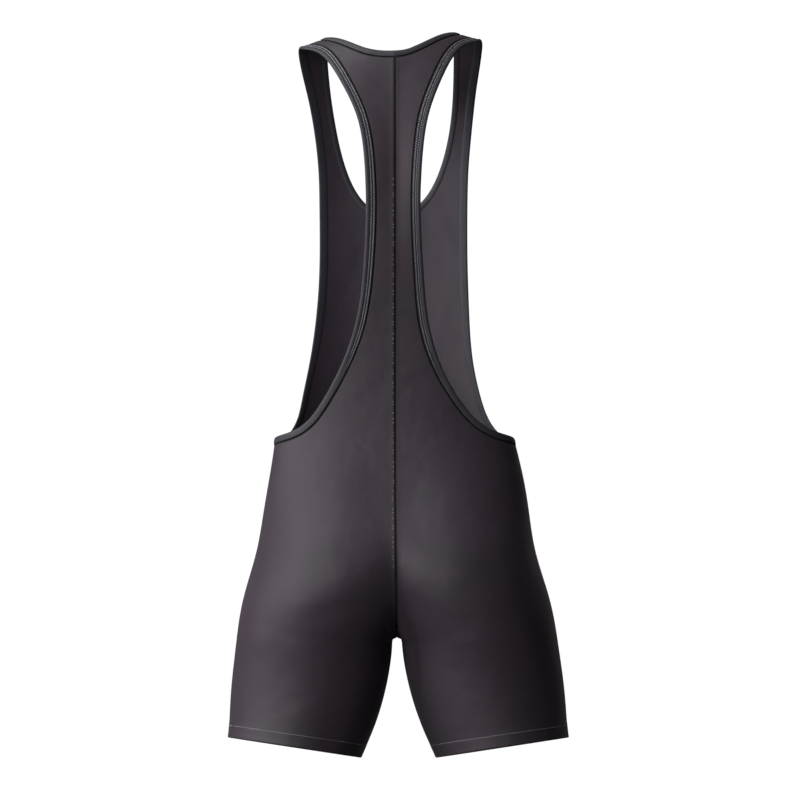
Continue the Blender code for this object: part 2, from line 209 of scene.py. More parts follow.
def ring_point(s, height):
    """The ring from the smoothed table, which near the middle turns into the ring from the sharp one."""
    near = smooth_step((np.abs(s) - SHARP_FROM) / (SHARP_TO - SHARP_FROM))[..., None]
    soft = ring_of(SOFT, s, height)
    return soft + near * (ring_of(SHARP, s, height) - soft)


print("seat, furthest back:", ring_point(np.array(0.6), np.array(-0.6)).round(4))

# %% [markdown]
# ## One surface with two parameters
#
# The whole left half is one surface. The first parameter, s, is 0 at the side seam, 1 at the middle of
# the back and -1 at the middle of the front. The second, h, is the height over the shoulder blades, and
# above them it runs on as an arc over the shoulder. A panel is then only a patch of (s, h) values, and
# an edge is a path through them. The cloth also lies a little hollow along the back seam: between the
# shoulders, at the top, and in the seat.

# %% The half surface
RIDGE_TOP, RIDGE_FALL = 0.0030, 0.32
SHOULDER_ARC, NECK_CORNER, STRAP_TIP = 0.210, 0.075, 0.107
HOLLOW_DEPTH, HOLLOW_HALF, HOLLOW_HEIGHT, HOLLOW_REACH = 0.007, 0.022, -0.155, 0.075
DIPS = ((0.0050, 0.045, -0.060, 0.060), (0.0095, 0.056, -0.548, 0.060))


def ridge(x):
    """The shoulder's top line, which falls evenly outwards."""
    return RIDGE_TOP - RIDGE_FALL * (np.abs(x) - NECK_CORNER)


def spine_hollow(x, z):
    """How far the back lies in: a bell along the seam, which dies away to each side as one over one
    plus the square, and the dips, which are bells both ways."""
    along = np.exp(-(((z - HOLLOW_HEIGHT) / HOLLOW_REACH) ** 2))
    hollow = HOLLOW_DEPTH * along / (1 + (x / HOLLOW_HALF) ** 2)
    for depth, half, height, reach in DIPS:
        hollow = hollow + depth * np.exp(-((x / half) ** 2) - ((z - height) / reach) ** 2)
    return hollow


def half_surface(place):
    """Points for places (s, h): rings below the blades, and above them a quarter turn to the ridge.

    Past the ridge it comes down the other face, so that a route can cross the shoulder."""
    s, h = place[..., 0], place[..., 1]
    over = h > SHOULDER_ARC
    s = np.where(over, -s, s)
    h = np.where(over, 2 * SHOULDER_ARC - h, h)
    low = ring_point(s, BLADES + np.minimum(h, 0))
    turn = np.clip(h / SHOULDER_ARC, 0, 1) * np.pi / 2
    top = ridge(low[..., 0])
    z = low[..., 2] + (top - BLADES) * np.sin(turn)
    ease = np.where(turn > 0, np.sqrt(np.cos(turn)), 1)
    y = low[..., 1] * np.cos(turn) - (s >= 0) * spine_hollow(low[..., 0], z) * ease
    return np.stack([low[..., 0], y, z], -1)


def tangents(place, step=1e-5):
    """The surface's two directions, each a small difference over a small step."""
    along_s, along_h = np.array([step, 0]), np.array([0, step])
    first = half_surface(place + along_s) - half_surface(place - along_s)
    second = half_surface(place + along_h) - half_surface(place - along_h)
    return first / (2 * step), second / (2 * step)


def unit(vector):
    """A vector divided by its length."""
    return vector / np.linalg.norm(vector, axis=-1, keepdims=True)


def normal(place):
    """Straight out of the cloth: the cross product of its two directions."""
    return unit(np.cross(*tangents(place)))


def moved(place, vector):
    """The place a short way off along the cloth: two equations for the changes of s and h."""
    first, second = tangents(place)
    a, b, c = (first * first).sum(-1), (first * second).sum(-1), (second * second).sum(-1)
    p, q = (first * vector).sum(-1), (second * vector).sum(-1)
    size = a * c - b * b
    return place + np.stack([c * p - b * q, a * q - b * p], -1) / size[..., None]


print("top of the back seam:", half_surface(np.array([1.0, 0.15])).round(4))

# %% [markdown]
# ## The stance
#
# The garment isn't held quite straight: one strap sits higher, and the seam and the edges beside it
# wander a few millimetres off the middle. These are small shifts of finished points, read from a table,
# so that every piece on both halves is moved by the same rule and stays in its place.

# %% Shift finished points into the stance
SHOULDER_TILT, TILT_FROM, TILT_TO, STANCE_HALF = -0.041, -0.42, -0.05, 0.028
STANCE_COLUMNS = ("height", "seam_shift", "edge_shift")
STANCE = (
    (HEM, -0.0035, -0.0035),
    (-0.700, -0.0018, -0.0018),
    (-0.580, -0.0007, -0.0007),
    (-0.485, 0.0000, 0.0000),
    (-0.430, 0.0000, 0.0042),
    (-0.310, 0.0000, 0.0030),
    (-0.190, 0.0000, 0.0025),
    (-0.090, 0.0000, 0.0030),
    (0.000, 0.0000, 0.0060),
)
MIRROR = np.array([-1.0, 1.0, 1.0])


def posed(points):
    """x moves by the seam's shift at the middle and the edge's shift further out; z tilts with x."""
    x, y, z = points[..., 0], points[..., 1], points[..., 2]
    seam, edges = (read(STANCE, STANCE_COLUMNS, name, z) for name in STANCE_COLUMNS[1:])
    shift = seam + (edges - seam) * np.clip(np.abs(x) / STANCE_HALF, 0, 1)
    lift = smooth_step((z - TILT_FROM) / (TILT_TO - TILT_FROM))
    return np.stack([x + shift, y, z + SHOULDER_TILT * x * lift], -1)


strap_tips = posed(np.array([[STRAP_TIP, 0, 0], [-STRAP_TIP, 0, 0]]))
print("one strap sits higher, by mm:", round(1000 * float(strap_tips[1, 2] - strap_tips[0, 2]), 1))

# %% [markdown]
# ## The cut edges
#
# A cutter's pattern is mostly its edges. The armhole runs from the shoulder down the back, far in beside
# the spine, under the arm and up the front. Its tables are read as a maker would measure them, by height
# and half width. A curve through the running length keeps the edge fair where the tables are sparse.

# %% Places on the cloth, and routes through them
def face_place(half_width, height, face):
    """The place (s, h) of a point of the back or the front, seen from straight behind or before."""
    half_width, height = np.broadcast_arrays(np.asarray(half_width, float), np.asarray(height, float))
    level = np.minimum(height, BLADES)
    centre, half, _, square, seam, _ = section(level, np.full(level.shape, face > 0))
    share = np.clip((half_width - centre) / half, -1, 1)
    s = face * np.arccos(signed_power(share, square / 2)) / seam
    rise = np.clip((height - BLADES) / (ridge(half_width) - BLADES), 0, 1)
    h = np.where(height > BLADES, np.arcsin(rise) * 2 / np.pi * SHOULDER_ARC, height - BLADES)
    return np.stack([s, h], -1)


def under_place(height, angle):
    """The place of a point at an angle round from the side seam."""
    seam = section(np.asarray(height, float), angle >= 0)[4]
    return np.array([np.radians(angle) / seam, height - BLADES])


def running(points, axis):
    """The running length along one direction of a grid of points, or along a route of them."""
    steps = np.linalg.norm(np.diff(points, axis=axis), axis=-1)
    start = np.zeros_like(np.take(steps, [0], axis))
    return np.concatenate([start, np.cumsum(steps, axis)], axis)


def spread(places, count, crowding=1):
    """Samples of a route that lie the same distance apart on the cloth, or crowd towards its end."""
    run = running(half_surface(places), 0)
    wanted = run[-1] * (1 - np.linspace(1, 0, count) ** crowding)
    return np.rint(np.interp(wanted, run, np.arange(len(run)))).astype(int)


def through(places, count):
    """A smooth route through a few places, by a cubic curve along their running length."""
    run = running(half_surface(places), 0)
    wanted = np.linspace(0, run[-1], count)
    knots = np.append(run, 2 * run[-1] - run[-2])
    values = np.concatenate([places, 2 * places[-1:] - places[-2:-1]])
    return np.stack([spline(knots, values[:, i], wanted) for i in (0, 1)], -1)


def directions(points, before, after):
    """Unit directions along a route, given the points that come before and after it."""
    padded = np.concatenate([[before], points, [after]])
    return unit(padded[2:] - padded[:-2])


def inset(edge, distance, cloth_side):
    """An edge moved into the cloth, square to itself; an edge is its places and its directions."""
    places, along = edge
    distance = np.broadcast_to(distance, len(places))[:, None]
    return moved(places, distance * cloth_side * unit(np.cross(along, normal(places))))


print("under the arm at 12 degrees:", under_place(UNDERARM, -12.0).round(3))

# %% Armhole and neckline
ROUTE_SAMPLES = 2401
# Each row is a height and a half width, and under the arm a height and an angle from the side seam.
ARMHOLE_BACK = (
    (-0.0083, 0.1055), (-0.0108, 0.0975), (-0.0160, 0.0850), (-0.0257, 0.0749), (-0.0515, 0.0597),
    (-0.0936, 0.0421), (-0.1357, 0.0345), (-0.1919, 0.0316), (-0.2761, 0.0351), (-0.3323, 0.0421),
    (-0.3884, 0.0603), (-0.4306, 0.0848), (-0.4586, 0.1164),
)
ARMHOLE_UNDER = ((UNDERARM, 0.0), (-0.4745, -12.0), (-0.4680, -24.0), (-0.4500, -35.0))
ARMHOLE_FRONT = (
    (-0.4200, 0.1060), (-0.3750, 0.0970), (-0.3150, 0.0910), (-0.2500, 0.0885), (-0.1800, 0.0890),
    (-0.1100, 0.0935), (-0.0600, 0.1005), (-0.0280, 0.1065), (-0.0090, 0.1082),
)
NAPE, NAPE_CURVE = -0.0185, 2.6
NECK_FRONT, SCOOP_ACROSS, SCOOP_DOWN = -0.200, 0.80, 0.90
OVER_RIDGE = np.array([1.0, -1.0, 1.0])


def make_armhole_edge():
    """From the shoulder ridge down the back, under the arm and up the front to the ridge again."""
    tip_back, tip_front = (face_place(STRAP_TIP, ridge(STRAP_TIP), face) for face in (BACK, FRONT))
    back = [face_place(half, height, BACK) for height, half in ARMHOLE_BACK]
    under = [under_place(height, angle) for height, angle in ARMHOLE_UNDER]
    front = [face_place(half, height, FRONT) for height, half in ARMHOLE_FRONT]
    places = through(np.array([tip_back, *back, *under, *front, tip_front]), 2 * ROUTE_SAMPLES)
    points = half_surface(places)
    return places, directions(points, points[1] * OVER_RIDGE, points[-2] * OVER_RIDGE)


def make_neck_edge(face):
    """The neckline's half: behind it rises as a power of a sine, in front it is a scooped arc."""
    share = np.linspace(0, 1, ROUTE_SAMPLES)
    top = ridge(NECK_CORNER)
    if face == BACK:
        half = NECK_CORNER * share
        height = NAPE + (top - NAPE) * np.sin(share * np.pi / 2) ** NAPE_CURVE
    else:
        turn = (1 - share) * np.pi / 2
        half = NECK_CORNER * np.cos(turn) ** SCOOP_ACROSS
        height = top - (top - NECK_FRONT) * np.sin(turn) ** SCOOP_DOWN
    places = face_place(np.maximum(half, SEAM_GAP / 2), height, face)
    points = half_surface(places)
    return places, directions(points, points[1] * MIRROR, points[-2] * OVER_RIDGE)


armhole_edge = make_armhole_edge()
neck_edges = {face: make_neck_edge(face) for face in (BACK, FRONT)}
neck_length = 2 * sum(running(half_surface(edge[0]), 0)[-1] for edge in neck_edges.values())
print("armhole round:", running(half_surface(armhole_edge[0]), 0)[-1].round(3))
print("neck round:", neck_length.round(3))

# %% [markdown]
# ## A panel as a grid of places
#
# Each half panel is a grid: rows run from the middle to the side, and climb from the hem to the
# shoulder. Its two border columns follow the real edges, so the rows are simply mixed between them. The
# columns crowd together at both borders, because that is where the cloth dips into a seam. The cloth
# runs a few millimetres on under each binding, as it does on the real garment.

# %% Routes for the grid's two border columns
ARM_BINDING, NECK_BINDING, TUCK = 0.0092, 0.0074, 0.0030
NECK_CROWDING = 1.5
# For each face: where the trunk's rows end on the armhole, the trunk's rows and the strap's rows.
STRETCHES = {BACK: (-0.060, 124, 44), FRONT: (-0.215, 86, 78)}


def armhole_stations(face):
    """Samples where a panel's rows meet the armhole, from the side up to the shoulder ridge."""
    places = armhole_edge[0]
    split, trunk_rows, strap_rows = STRETCHES[face]
    side = int(np.argmin(np.abs(places[:, 0])))
    samples = np.arange(side, -1, -1) if face == BACK else np.arange(side, len(places))
    level = int(np.argmax(places[samples, 1] + BLADES > split))
    low = samples[: level + 1][spread(places[samples[: level + 1]], trunk_rows, NECK_CROWDING)]
    high = samples[level:][spread(places[samples[level:]], strap_rows)]
    return np.concatenate([low, high[1:]])


def off_side(height, face):
    """How far s lies from the side seam at half a gap."""
    _, _, depth, square, seam, _ = section(height, np.full(np.shape(height), face > 0))
    return (SEAM_GAP / 2 / depth) ** (square / 2) / seam


def clear_of_seams(places, face):
    """Keeps a route half a gap from the side seam and from the shoulder seam."""
    height = BLADES + np.minimum(places[:, 1], 0)
    s = face * np.maximum(face * places[:, 0], off_side(height, face))
    return np.stack([s, np.minimum(places[:, 1], SHOULDER_ARC - SEAM_GAP)], -1)


def side_route(face, low, high):
    """The side seam from one height to another, half a gap off it."""
    height = np.linspace(low, high, ROUTE_SAMPLES)
    return np.stack([face * off_side(height, face), height - BLADES], -1)


def middle_route(face, low, high):
    """The inseam, then the middle seam, from the hem up."""
    height = np.linspace(low, high, 2 * ROUTE_SAMPLES)
    off = np.where(height <= CROTCH, off_side(height, face), 0)
    return np.stack([face * (1 - off), height - BLADES], -1)


print("rows beside the armhole:", {face: len(armhole_stations(face)) for face in (BACK, FRONT)})

# %% The grid of a half panel
HEM_DEPTH, HEM_BAND, HEM_CROWDING = 0.0157, 1.3, 1.7
ARCH_ROW, CROTCH_SIDE, UNDERARM_MIDDLE = 0.0025, -0.672, -0.560
HEM_ROWS, LEG_ROWS, ARCH_ROWS, SEAT_ROWS, COLUMNS = 16, 40, 4, 58, 84
BORDER_CROWDING = 0.93


def evenly(places, count, crowding=1):
    """Places of a route that lie the same distance apart, or crowd towards its end."""
    return places[spread(places, count, crowding)]


def crowded(places, count):
    """Places that crowd towards the start, by a power of their share."""
    share = np.linspace(0, 1, count) ** HEM_CROWDING
    return places[np.rint(share * (len(places) - 1)).astype(int)]


def join(*routes):
    """Routes end to end: each leaves out its first place, which is the last of the one before."""
    return np.concatenate([routes[0]] + [route[1:] for route in routes[1:]])


def panel_grid(face):
    """Places (rows, columns, 2): a mix of the middle and side routes, its share eased by a sine."""
    _, trunk_rows, strap_rows = STRETCHES[face]
    armhole = inset(armhole_edge, ARM_BINDING - TUCK, -1)[armhole_stations(face)]
    armhole = clear_of_seams(armhole, face)
    neck = inset(neck_edges[face], NECK_BINDING - TUCK, -face)[spread(neck_edges[face][0], strap_rows)]
    neck[0, 0] = face
    neck = clear_of_seams(neck, face)
    turn = HEM + HEM_DEPTH * HEM_BAND
    middle = join(
        crowded(middle_route(face, HEM, turn), HEM_ROWS),
        evenly(middle_route(face, turn, CROTCH - ARCH_ROW), LEG_ROWS),
        evenly(middle_route(face, CROTCH - ARCH_ROW, CROTCH), ARCH_ROWS),
        evenly(middle_route(face, CROTCH, UNDERARM_MIDDLE), SEAT_ROWS),
        evenly(middle_route(face, UNDERARM_MIDDLE, neck[0, 1] + BLADES), trunk_rows, NECK_CROWDING),
        neck,
    )
    side = join(
        crowded(side_route(face, HEM, turn), HEM_ROWS),
        evenly(side_route(face, turn, CROTCH_SIDE), LEG_ROWS + ARCH_ROWS - 1),
        evenly(side_route(face, CROTCH_SIDE, armhole[0, 1] + BLADES), SEAT_ROWS),
        armhole,
    )
    share = np.linspace(0, 1, COLUMNS)
    share = (share - BORDER_CROWDING / (2 * np.pi) * np.sin(2 * np.pi * share))[None, :, None]
    return middle[:, None] * (1 - share) + side[:, None] * share


back_grid, front_grid = panel_grid(BACK), panel_grid(FRONT)
print("rows and columns of the back:", back_grid.shape[:2], "front:", front_grid.shape[:2])

# %% [markdown]
# ## What the needle does to the cloth
#
# A seam pulls the cloth down into a thin groove and leaves a low welt beside it, and a binding presses a
# groove along its inner edge. A turned hem is two layers, held by one row of stitches that dents and
# puckers it, and its fold stands a little off the leg. All of this is relief: how far the outer face
# rises or falls along its own normal. The darkness of the grooves is not relief but painted shade,
# worked out from the same distances. Only distances from the edges are needed. A cumulative sum along
# the grid gives them for the seams and hems, and the nearest point for the curved edges.

# %% The relief of seams and bindings
GROOVE_DEPTH, GROOVE_HALF = 0.00085, 0.00085
WELT_HEIGHT, WELT_AT, WELT_HALF = 0.00013, 0.0030, 0.0018
BINDING_GROOVE_AT, BINDING_GROOVE_HALF = 0.0005, 1.2 * GROOVE_HALF
EDGE_SHADE, EDGE_FADE = 0.0016, 0.0009
ARM_WIDE, ARM_NARROW, NARROW_FROM, NARROW_OVER = 0.0104, 0.0078, -0.330, 0.095


def arm_width(points):
    """The armhole binding's width: it is pulled narrower under the arm than along the back."""
    narrow = smooth_step((NARROW_FROM - points[..., 2]) / NARROW_OVER)
    return ARM_WIDE - (ARM_WIDE - ARM_NARROW) * narrow


def bell(distance, centre, half):
    """A bell curve: 1 at its centre, and about a third one half width off."""
    return np.exp(-(((distance - centre) / half) ** 2))


def seam_relief(distance):
    """A groove at the seam and a low welt beside it, each a bell."""
    welt = WELT_HEIGHT * bell(distance, WELT_AT, WELT_HALF)
    return welt - GROOVE_DEPTH * bell(distance, 0, GROOVE_HALF)


def binding_relief(distance, width):
    """A groove where the binding's inner edge presses on the cloth, one width in from the bound edge."""
    return -GROOVE_DEPTH * bell(distance, width + BINDING_GROOVE_AT, BINDING_GROOVE_HALF)


def edge_shade(past_edge):
    """The painted shade along a binding's inner edge, for the shadow of the binding's raised edge: full
    close to it, then gone within a millimetre.
    """
    return 1 - smooth_step((np.abs(past_edge) - EDGE_SHADE) / EDGE_FADE)


print("relief at a seam, in mm:", (1000 * seam_relief(np.array([0, 0.001, 0.003]))).round(2))

# %% The relief of the hems
HEM_STITCHES = HEM_DEPTH - 0.0010
HEM_STEP, HEM_STEP_OVER, HEM_DENT, HEM_DENT_HALF = 0.00030, 0.0012, 0.00035, 0.0009
HEM_FLARE, HEM_FLARE_REACH = 0.0016, 0.0070
FOLD_ROUND, FOLD_ROUND_REACH = 0.0009, 0.0007
PUCKER, PUCKER_WAVES = 0.00022, ((0.0105, 0.0), (0.0172, 1.3), (0.0291, 2.9))
PUCKER_AT, PUCKER_REACH = HEM_DEPTH - 0.002, 0.0085


def hem_flare(distance):
    """How far the hem stands off the leg: it falls off as a power of e over the flare's reach."""
    return HEM_FLARE * np.exp(-distance / HEM_FLARE_REACH)


def fold_round(distance):
    """How much each face gives way at the fold, so that its edge is round: also a power of e."""
    return FOLD_ROUND * np.exp(-distance / FOLD_ROUND_REACH)


def hem_relief(distance):
    """The turned layer's step, the dent of its stitches, the flare and the round fold."""
    step = HEM_STEP * (1 - smooth_step((distance - HEM_DEPTH) / HEM_STEP_OVER))
    dent = HEM_DENT * bell(distance, HEM_STITCHES, HEM_DENT_HALF)
    return step - dent + hem_flare(distance) - fold_round(distance)


def hem_puckers(round_length, distance):
    """Small uneven waves round the hem, strongest at its stitches: the mean of three sines."""
    waves_round = sum(np.sin(2 * np.pi * round_length / wave + start) for wave, start in PUCKER_WAVES)
    return PUCKER * waves_round / len(PUCKER_WAVES) * bell(distance, PUCKER_AT, PUCKER_REACH)


print("relief of a hem, in mm:", (1000 * hem_relief(np.array([0, 0.002, HEM_STITCHES]))).round(2))

# %% [markdown]
# ## Soft creases
#
# Stretch cloth that fits closely has few creases. There are short ones that fan from the crotch, a
# shallow fold under each half of the seat, and drag lines below the armholes. A cloth simulation could
# make them, but each is wanted in its own place, so each is one row of a table: where it starts and
# ends, how high it stands, how wide it is, and whether the left half has it, the right or both. A trough
# has a negative height. They differ in length, depth and spacing, because even creases look like ribs.

# %% The creases' tables
BOTH, LEFT, RIGHT = 0, 1, -1
# Each row is the start (x, z), the end (x, z), the height, the width and the side.
CREASES_BACK = (
    (0.0024, -0.694, 0.0027, -0.683, 0.0012, 0.0011, BOTH),
    (0.0056, -0.694, 0.0062, -0.685, 0.0009, 0.0014, BOTH),
    (0.0110, -0.702, 0.0150, -0.678, -0.0007, 0.0026, LEFT),
    (0.0165, -0.690, 0.0215, -0.750, -0.0026, 0.0042, RIGHT),
    (0.022, -0.714, 0.050, -0.690, 0.0006, 0.0052, LEFT),
    (0.030, -0.706, 0.062, -0.694, -0.0005, 0.0060, RIGHT),
    (0.026, -0.655, 0.100, -0.672, -0.0009, 0.0110, LEFT),
    (0.020, -0.662, 0.088, -0.686, -0.0007, 0.0130, RIGHT),
    (0.100, -0.486, 0.140, -0.500, 0.0003, 0.0100, LEFT),
    (0.072, -0.466, 0.126, -0.505, -0.0003, 0.0110, LEFT),
    (0.084, -0.470, 0.132, -0.494, -0.0004, 0.0090, RIGHT),
    (0.030, -0.735, 0.066, -0.722, -0.0005, 0.0070, LEFT),
    (0.150, -0.800, 0.110, -0.775, 0.0004, 0.0080, LEFT),
    (0.158, -0.782, 0.122, -0.768, 0.0004, 0.0070, RIGHT),
)
CREASES_FRONT = (
    (0.005, -0.698, 0.011, -0.660, 0.0007, 0.0030, BOTH),
    (0.012, -0.702, 0.036, -0.660, -0.0007, 0.0050, LEFT),
    (0.014, -0.704, 0.030, -0.668, -0.0006, 0.0045, RIGHT),
    (0.018, -0.714, 0.070, -0.672, 0.0008, 0.0070, LEFT),
    (0.024, -0.708, 0.082, -0.676, 0.0006, 0.0080, RIGHT),
    (0.026, -0.730, 0.092, -0.704, -0.0006, 0.0080, LEFT),
    (0.030, -0.724, 0.074, -0.712, -0.0005, 0.0070, RIGHT),
    (0.030, -0.655, 0.150, -0.618, -0.0007, 0.0120, LEFT),
    (0.040, -0.648, 0.138, -0.604, -0.0006, 0.0130, RIGHT),
    (0.098, -0.474, 0.136, -0.508, 0.0006, 0.0070, LEFT),
    (0.092, -0.480, 0.130, -0.500, 0.0005, 0.0080, RIGHT),
    (0.078, -0.462, 0.112, -0.528, -0.0005, 0.0090, BOTH),
    (0.026, -0.222, 0.066, -0.310, 0.0004, 0.0100, LEFT),
    (0.052, -0.205, 0.084, -0.270, -0.0004, 0.0080, RIGHT),
)


CREASE_END = 0.35


def crease_relief(points, table, side):
    """The sum of one side's creases: across each a bell curve, and along it a smooth rise and fall."""
    total = np.zeros(points.shape[:-1])
    for x0, z0, x1, z1, height, width, only in table:
        if only == -side:
            continue
        run = np.array([x1 - x0, z1 - z0])
        length = np.hypot(*run)
        x, z = points[..., 0] - x0, points[..., 2] - z0
        along = (x * run[0] + z * run[1]) / length**2
        across = (x * run[1] - z * run[0]) / length
        rise = smooth_step((along + CREASE_END) / (2 * CREASE_END))
        fall = smooth_step((1 + CREASE_END - along) / (2 * CREASE_END))
        total += height * bell(across, 0, width) * rise * fall
    return total


print("creases on the back and the front:", len(CREASES_BACK), len(CREASES_FRONT))

# %% [markdown]
# ## From a grid to a wall of cloth
#
# Cloth has two faces. The outer face takes all the relief, and the inner face only the creases and the
# flare of the hem, one wall thickness further in, or two in the hem. The two grids are joined round
# their borders, so the mesh is closed. It could also be one grid with a Solidify modifier, but then the
# grooves would show inside too.

# %% Faces between points
def grid_quads(index):
    """Four-cornered faces of a grid of point numbers."""
    corners = [index[:-1, :-1], index[1:, :-1], index[1:, 1:], index[:-1, 1:]]
    return np.stack(corners, -1).reshape(-1, 4)


def strip_quads(first, second):
    """Faces between two rows of point numbers."""
    return np.stack([first[:-1], first[1:], second[1:], second[:-1]], -1)


def turned_round(quads, turn):
    """Faces that look the other way, if they have to be turned: their corners run backwards."""
    return quads[:, [0, 3, 2, 1]] if turn else quads


def closed_wall(outer, flip, shared=None):
    """Faces of a wall: its two faces and its borders. Shared rows of the first column stay open."""
    rows, columns = outer.shape[:2]
    first = np.arange(rows * columns).reshape(rows, columns)
    second = first + rows * columns
    borders = [strip_quads(first[0], second[0]), strip_quads(second[-1], first[-1])]
    borders.append(strip_quads(first[:, -1], second[:, -1]))
    end = rows if shared is None else shared.start + 1
    borders.append(strip_quads(second[:end, 0], first[:end, 0]))
    if shared is not None and shared.stop < rows:
        borders.append(strip_quads(second[shared.stop - 1 :, 0], first[shared.stop - 1 :, 0]))
    quads = np.concatenate([grid_quads(first), grid_quads(second)[:, ::-1], *borders])
    return turned_round(quads, flip)


print("faces of the back's wall:", len(closed_wall(back_grid, False)))

# %% [markdown]
# ## The wall's points
#
# The points of a wall come from the surface, its normals and the relief. Each point also gets two finer
# things: where it lies on the knit, so that the wales can run up the cloth, and how much painted shade
# it gets for lying in the shadow of a seam or an edge.

# %% The points of a half panel's wall
WALL, HEM_WALL, HEM_WALL_OVER = 0.0013, 0.0026, 0.0015
SHADE_HALF, SINK_OVER = 0.0020, 0.003
# Rows count from 0, and each join of two routes drops a row.
CROTCH_ROW = HEM_ROWS + LEG_ROWS + ARCH_ROWS - 3
ARMHOLE_ROW = CROTCH_ROW + SEAT_ROWS - 1
KNIT_STEPS = 13
ARM_SAMPLE, NECK_SAMPLE = 6, 4


def distance_to(points, route):
    """The least distance from each point to a route, worked out for one row of points at a time."""
    return np.stack([np.linalg.norm(row[:, None] - route, axis=-1).min(1) for row in points])


def knit_coordinates(places, face):
    """Where a wale and a course cross: the length round from the middle, and the height."""
    share = np.linspace(0, 1, KNIT_STEPS)[:, None, None]
    s = face + (places[..., 0] - face) * share
    round_places = np.stack(np.broadcast_arrays(s, places[..., 1]), -1)
    return np.stack([running(half_surface(round_places), 0)[-1], places[..., 1]], -1)


def panel_wall(places, face, side):
    """The outer and inner points of a half panel, its cloth coordinates and its painted seam shade.

    outer = surface + relief * normal, and inner = surface + (creases + flare + fold - wall) * normal,
    where the fold is what makes the edge round."""
    points = half_surface(places)
    rows = np.arange(places.shape[0])[:, None]
    neck_row = len(rows) - STRETCHES[face][2]
    from_middle, from_hem = running(points, 1), running(points, 0)
    from_side, from_top = from_middle[:, -1:] - from_middle, from_hem[-1:] - from_hem
    middle_sewn = (rows <= CROTCH_ROW) | ((face > 0) & (rows <= neck_row))
    side_sewn, strap = rows <= ARMHOLE_ROW, rows > neck_row
    creases = crease_relief(points, CREASES_BACK if face > 0 else CREASES_FRONT, side)
    bound = armhole_edge[0][(armhole_edge[0][:, 0] * face >= 0)][::ARM_SAMPLE]
    from_arm = distance_to(points, half_surface(bound))
    from_neck = distance_to(points, half_surface(neck_edges[face][0][::NECK_SAMPLE]))
    grooves = np.where(middle_sewn, seam_relief(from_middle), 0)
    grooves += side_sewn * seam_relief(from_side) + strap * seam_relief(from_top)
    grooves += binding_relief(from_arm, arm_width(points)) + binding_relief(from_neck, NECK_BINDING)
    # Painted shade: the colour is darkened along the seams and the binding edges, where their shadows
    # fall.
    shade = middle_sewn * bell(from_middle, 0, SHADE_HALF)
    shade += side_sewn * bell(from_side, 0, SHADE_HALF) + strap * bell(from_top, 0, SHADE_HALF)
    shade += edge_shade(from_arm - arm_width(points)) + edge_shade(from_neck - NECK_BINDING)
    sink = smooth_step(from_hem / SINK_OVER)
    relief = creases + np.maximum(grooves, -GROOVE_DEPTH) * sink + hem_relief(from_hem)
    relief += hem_puckers(from_middle, from_hem)
    wall = WALL + (HEM_WALL - WALL) * (1 - smooth_step((from_hem - HEM_DEPTH) / HEM_WALL_OVER))
    out = unit(np.cross(*tangents(places)))
    if face == FRONT:
        # The front has no middle seam, so its middle points lie on the middle and face straight ahead.
        out[CROTCH_ROW + 1 :, 0, 0] = 0
        out = unit(out)
        points[CROTCH_ROW : neck_row + 1, 0, 0] = 0
    outer = points + relief[..., None] * out
    inner = points + (creases + fold_round(from_hem) + hem_flare(from_hem) - wall)[..., None] * out
    return outer, inner, knit_coordinates(places, face), np.clip(shade, 0, 1)


print("rows at the crotch and under the arm:", CROTCH_ROW, ARMHOLE_ROW)

# %% [markdown]
# ## A mesh from arrays
#
# Blender keeps a mesh as long flat rows of numbers. foreach_set fills them from whole arrays, which is
# far quicker than adding the points one at a time. The object itself stays at the origin.

# %% A mesh object from arrays
def new_piece(name, points, quads, material, coordinates=None, shade=None):
    """A mesh object from whole arrays, with optional cloth coordinates and seam shade at its points."""
    mesh = bpy.data.meshes.new(name)
    mesh.vertices.add(len(points))
    mesh.vertices.foreach_set("co", np.ascontiguousarray(points, np.float32).ravel())
    mesh.loops.add(quads.size)
    mesh.loops.foreach_set("vertex_index", quads.astype(np.int32).ravel())
    mesh.polygons.add(len(quads))
    mesh.polygons.foreach_set("loop_start", np.arange(0, quads.size, 4, dtype=np.int32))
    mesh.update(calc_edges=True)
    if coordinates is not None:
        layer = mesh.uv_layers.new(name="cloth")
        layer.data.foreach_set("uv", coordinates[quads.ravel()].astype(np.float32).ravel())
    if shade is not None:
        attribute = mesh.attributes.new("seam_shade", "FLOAT", "POINT")
        attribute.data.foreach_set("value", shade.astype(np.float32))
    mesh.validate()
    mesh.shade_smooth()
    mesh.materials.append(material)
    piece = bpy.data.objects.new(name, mesh)
    bpy.context.scene.collection.objects.link(piece)
    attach(piece, "root")
    return piece


def area_of(points):
    """The area of a grid of points: half the cross product of each cell's diagonals."""
    across = points[1:, 1:] - points[:-1, :-1]
    other = points[1:, :-1] - points[:-1, 1:]
    return float(np.linalg.norm(np.cross(across, other), axis=-1).sum() / 2)


print("half the front before its seams, in m2:", round(area_of(half_surface(front_grid)), 4))

# %% [markdown]
# ## The knit
#
# The cloth is a smooth nylon and elastane warp knit, charcoal with a breath of mauve. Up close it has
# fine upright wales half a millimetre apart, crossed by fainter courses. From a step away it is only a
# broad soft shine. Two wave textures on the cloth's own coordinates give the wales and courses as bump.
# A slow noise varies the dye between a greyer and a more mauve charcoal, and the gloss a little. The
# seam shade is painted shade: it darkens the grooves and the binding edges for the shadow real cloth has
# there, and it makes them matt.

# %% Helpers for shader nodes
def fill(tree, socket, value):
    """Gives an input its value: another socket is linked to it, and anything else is its constant."""
    if isinstance(value, bpy.types.NodeSocket):
        tree.links.new(value, socket)
    else:
        socket.default_value = value


def add_node(tree, kind, at, inputs=(), **settings):
    """A node of a kind, with its named settings and pairs of an input's name and value."""
    node = tree.nodes.new(kind)
    node.location = at
    for key, value in settings.items():
        setattr(node, key, value)
    for key, value in inputs:
        fill(tree, node.inputs[key], value)
    return node


